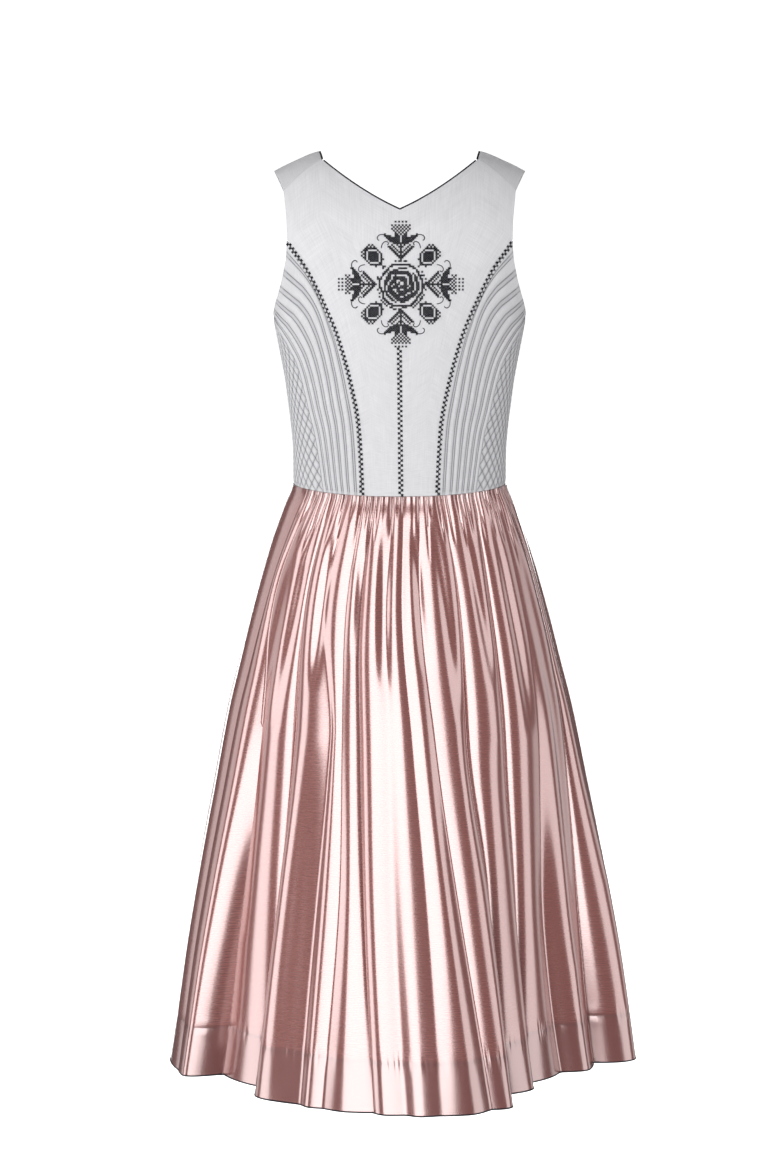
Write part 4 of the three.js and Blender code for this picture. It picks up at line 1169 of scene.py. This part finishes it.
def quilting(side, material):
    """Running stitches along the grooves of a side panel."""
    lines = []
    up = np.linspace(0.012, 0.985, 160)
    for share in rib_lines():
        lines.append((np.full_like(up, share), up))
    for k in range(-DIAMOND_ROWS, DIAMOND_COLUMNS + DIAMOND_ROWS + 1, 2):
        for hand in (1, -1):
            v = np.linspace(0.4, DIAMOND_ROWS - 0.4, 160)
            u = k + hand * v
            inside = (u > 0.05) & (u < DIAMOND_COLUMNS - 0.4)
            if inside.sum() > 8:
                lines.append((1 + u[inside] / DIAMOND_COLUMNS, v[inside] / DIAMOND_ROWS))
    gathered = []
    for across, up_line in lines:
        places = side_plain(across[None, :], up_line[None, :])[0]
        around = side_slope(across, up_line, SLOPE_STEP, 0)
        normal = np.cross(around, side_slope(across, up_line, 0, SLOPE_STEP))
        normal /= np.linalg.norm(normal, axis=1, keepdims=True) + 1e-9
        normal *= np.sign((normal[:, :2] * places[:, :2]).sum(axis=1))[:, None]
        run = arc(places)
        points, along = spaced(places, QUILT_PITCH)
        at = np.arange(QUILT_PITCH / 2, run[-1], QUILT_PITCH)
        outward = np.stack([np.interp(at, run, normal[:, k]) for k in range(3)], axis=-1)
        outward /= np.linalg.norm(outward, axis=1, keepdims=True)
        gathered.append((points + outward * 0.18, outward, along))
    points, outward, along = (np.concatenate(part) for part in zip(*gathered))
    if side == "left":
        points, outward, along = mirror(points), mirror(outward), mirror(along)
    stitches(f"quilting_{side}", "linen", points, outward, along, QUILT_STITCH, QUILT_THREAD, 0.12, material)


# Studio

SENSOR = 36
FOCAL_PIXELS, PICTURE_HEIGHT = 2740, 1175
CAMERA_PLACE, CAMERA_TILT = (-0.0106, -3.4, -0.12666), 6.816


def camera():
    """A camera a little above the waist, tilted down."""
    eye = bpy.data.cameras.new("camera")
    eye.sensor_width, eye.lens = SENSOR, FOCAL_PIXELS / PICTURE_HEIGHT * SENSOR
    seen = bpy.data.objects.new("camera", eye)
    seen.location = CAMERA_PLACE
    seen.rotation_euler = (math.radians(90 - CAMERA_TILT), 0, 0)
    bpy.context.scene.collection.objects.link(seen)
    bpy.context.scene.camera = seen


LIGHTS = columns(
    "turn far wide power",
    (-11, 3.7, 3.0, 158), (-72, 3.1, 1.6, 62), (66, 3.1, 1.8, 46), (-116, 3.0, 1.4, 18), (116, 3.0, 1.4, 18),
    (180, 3.7, 3.0, 140),
)
BOX_HEIGHT, BOX_MIDDLE = 4.8, -0.1


def soft_box(name, turn, far, wide, power):
    """A tall soft box that stands round the dress, turn degrees from the side that the camera sees."""
    light = bpy.data.lights.new(name, "AREA")
    light.shape, light.size, light.size_y = "RECTANGLE", wide, BOX_HEIGHT
    light.energy = power
    box = bpy.data.objects.new(name, light)
    turn = math.radians(turn)
    box.location = (far * math.sin(turn), -far * math.cos(turn), BOX_MIDDLE)
    box.rotation_euler = (math.radians(90), 0, turn)
    box.visible_camera = False
    bpy.context.scene.collection.objects.link(box)


def studio():
    for k in range(len(LIGHTS["turn"])):
        soft_box(f"soft_box_{k}", *(float(LIGHTS[name][k]) for name in ("turn", "far", "wide", "power")))
    world = bpy.data.worlds.new("studio")
    world.use_nodes = True
    world.node_tree.nodes["Background"].inputs["Color"].default_value = (0.09, 0.09, 0.093, 1)
    bpy.context.scene.world = world
    bpy.context.scene.view_settings.view_transform = "Standard"


def floor():
    """A plain pale floor, well below the hem, that sweeps up into a plain pale room and lights nothing."""
    turn = np.radians(np.arange(0, 360, 7.5))
    profile = np.array([(0.0002, -1.6), (9, -1.6), (11, -1.2), (12, 0), (12, 7), (9, 10), (0.0002, 11)])
    points = np.stack([profile[:, None, 0] * np.cos(turn), profile[:, None, 0] * np.sin(turn),
                       np.broadcast_to(profile[:, None, 1], (len(profile), len(turn)))], axis=-1)
    rows = np.arange(len(profile) - 1)[:, None] * len(turn)
    here, there = np.arange(len(turn)), (np.arange(len(turn)) + 1) % len(turn)
    faces = np.stack([rows + here, rows + there, rows + len(turn) + there, rows + len(turn) + here], axis=-1)
    mesh = bpy.data.meshes.new("floor")
    mesh.from_pydata(points.reshape(-1, 3).tolist(), [], faces.reshape(-1, 4).tolist())
    finish = Finish("floor_paper")
    paper = finish.noise(finish.add("ShaderNodeTexCoord", {}, output=3))
    colour = finish.mix_colours((0.9, 0.9, 0.905, 1), (0.93, 0.93, 0.935, 1), paper)
    piece = new_piece("floor", mesh, finish.principled(
        Base_Color=colour, Roughness=0.9, Emission_Color=(1, 1, 1, 1), Emission_Strength=1.0))
    piece.visible_diffuse = piece.visible_glossy = piece.visible_shadow = False


cloth, rose, cord, black, grey_silk_and_groove_shade = linen(), satin(), black_piping(), black_thread(), grey_thread_and_groove_shade()
camera()
studio()
floor()
back_panel(cloth)
for side in ("right", "left"):
    side_panel(side, cloth)
    front_panel(side, cloth)
    front_neck_piping(side, cord)
    quilting(side, grey_silk_and_groove_shade)
seam_chains(black)
posy(black)
posy_curls(black)
back_neck_piping(cord)
for side, folds, seed in (("back", BACK_FOLDS, 5), ("front", FRONT_FOLDS, 8)):
    skirt_piece(side, folds, seed, rose)
    hem_piping(side, folds, cord)
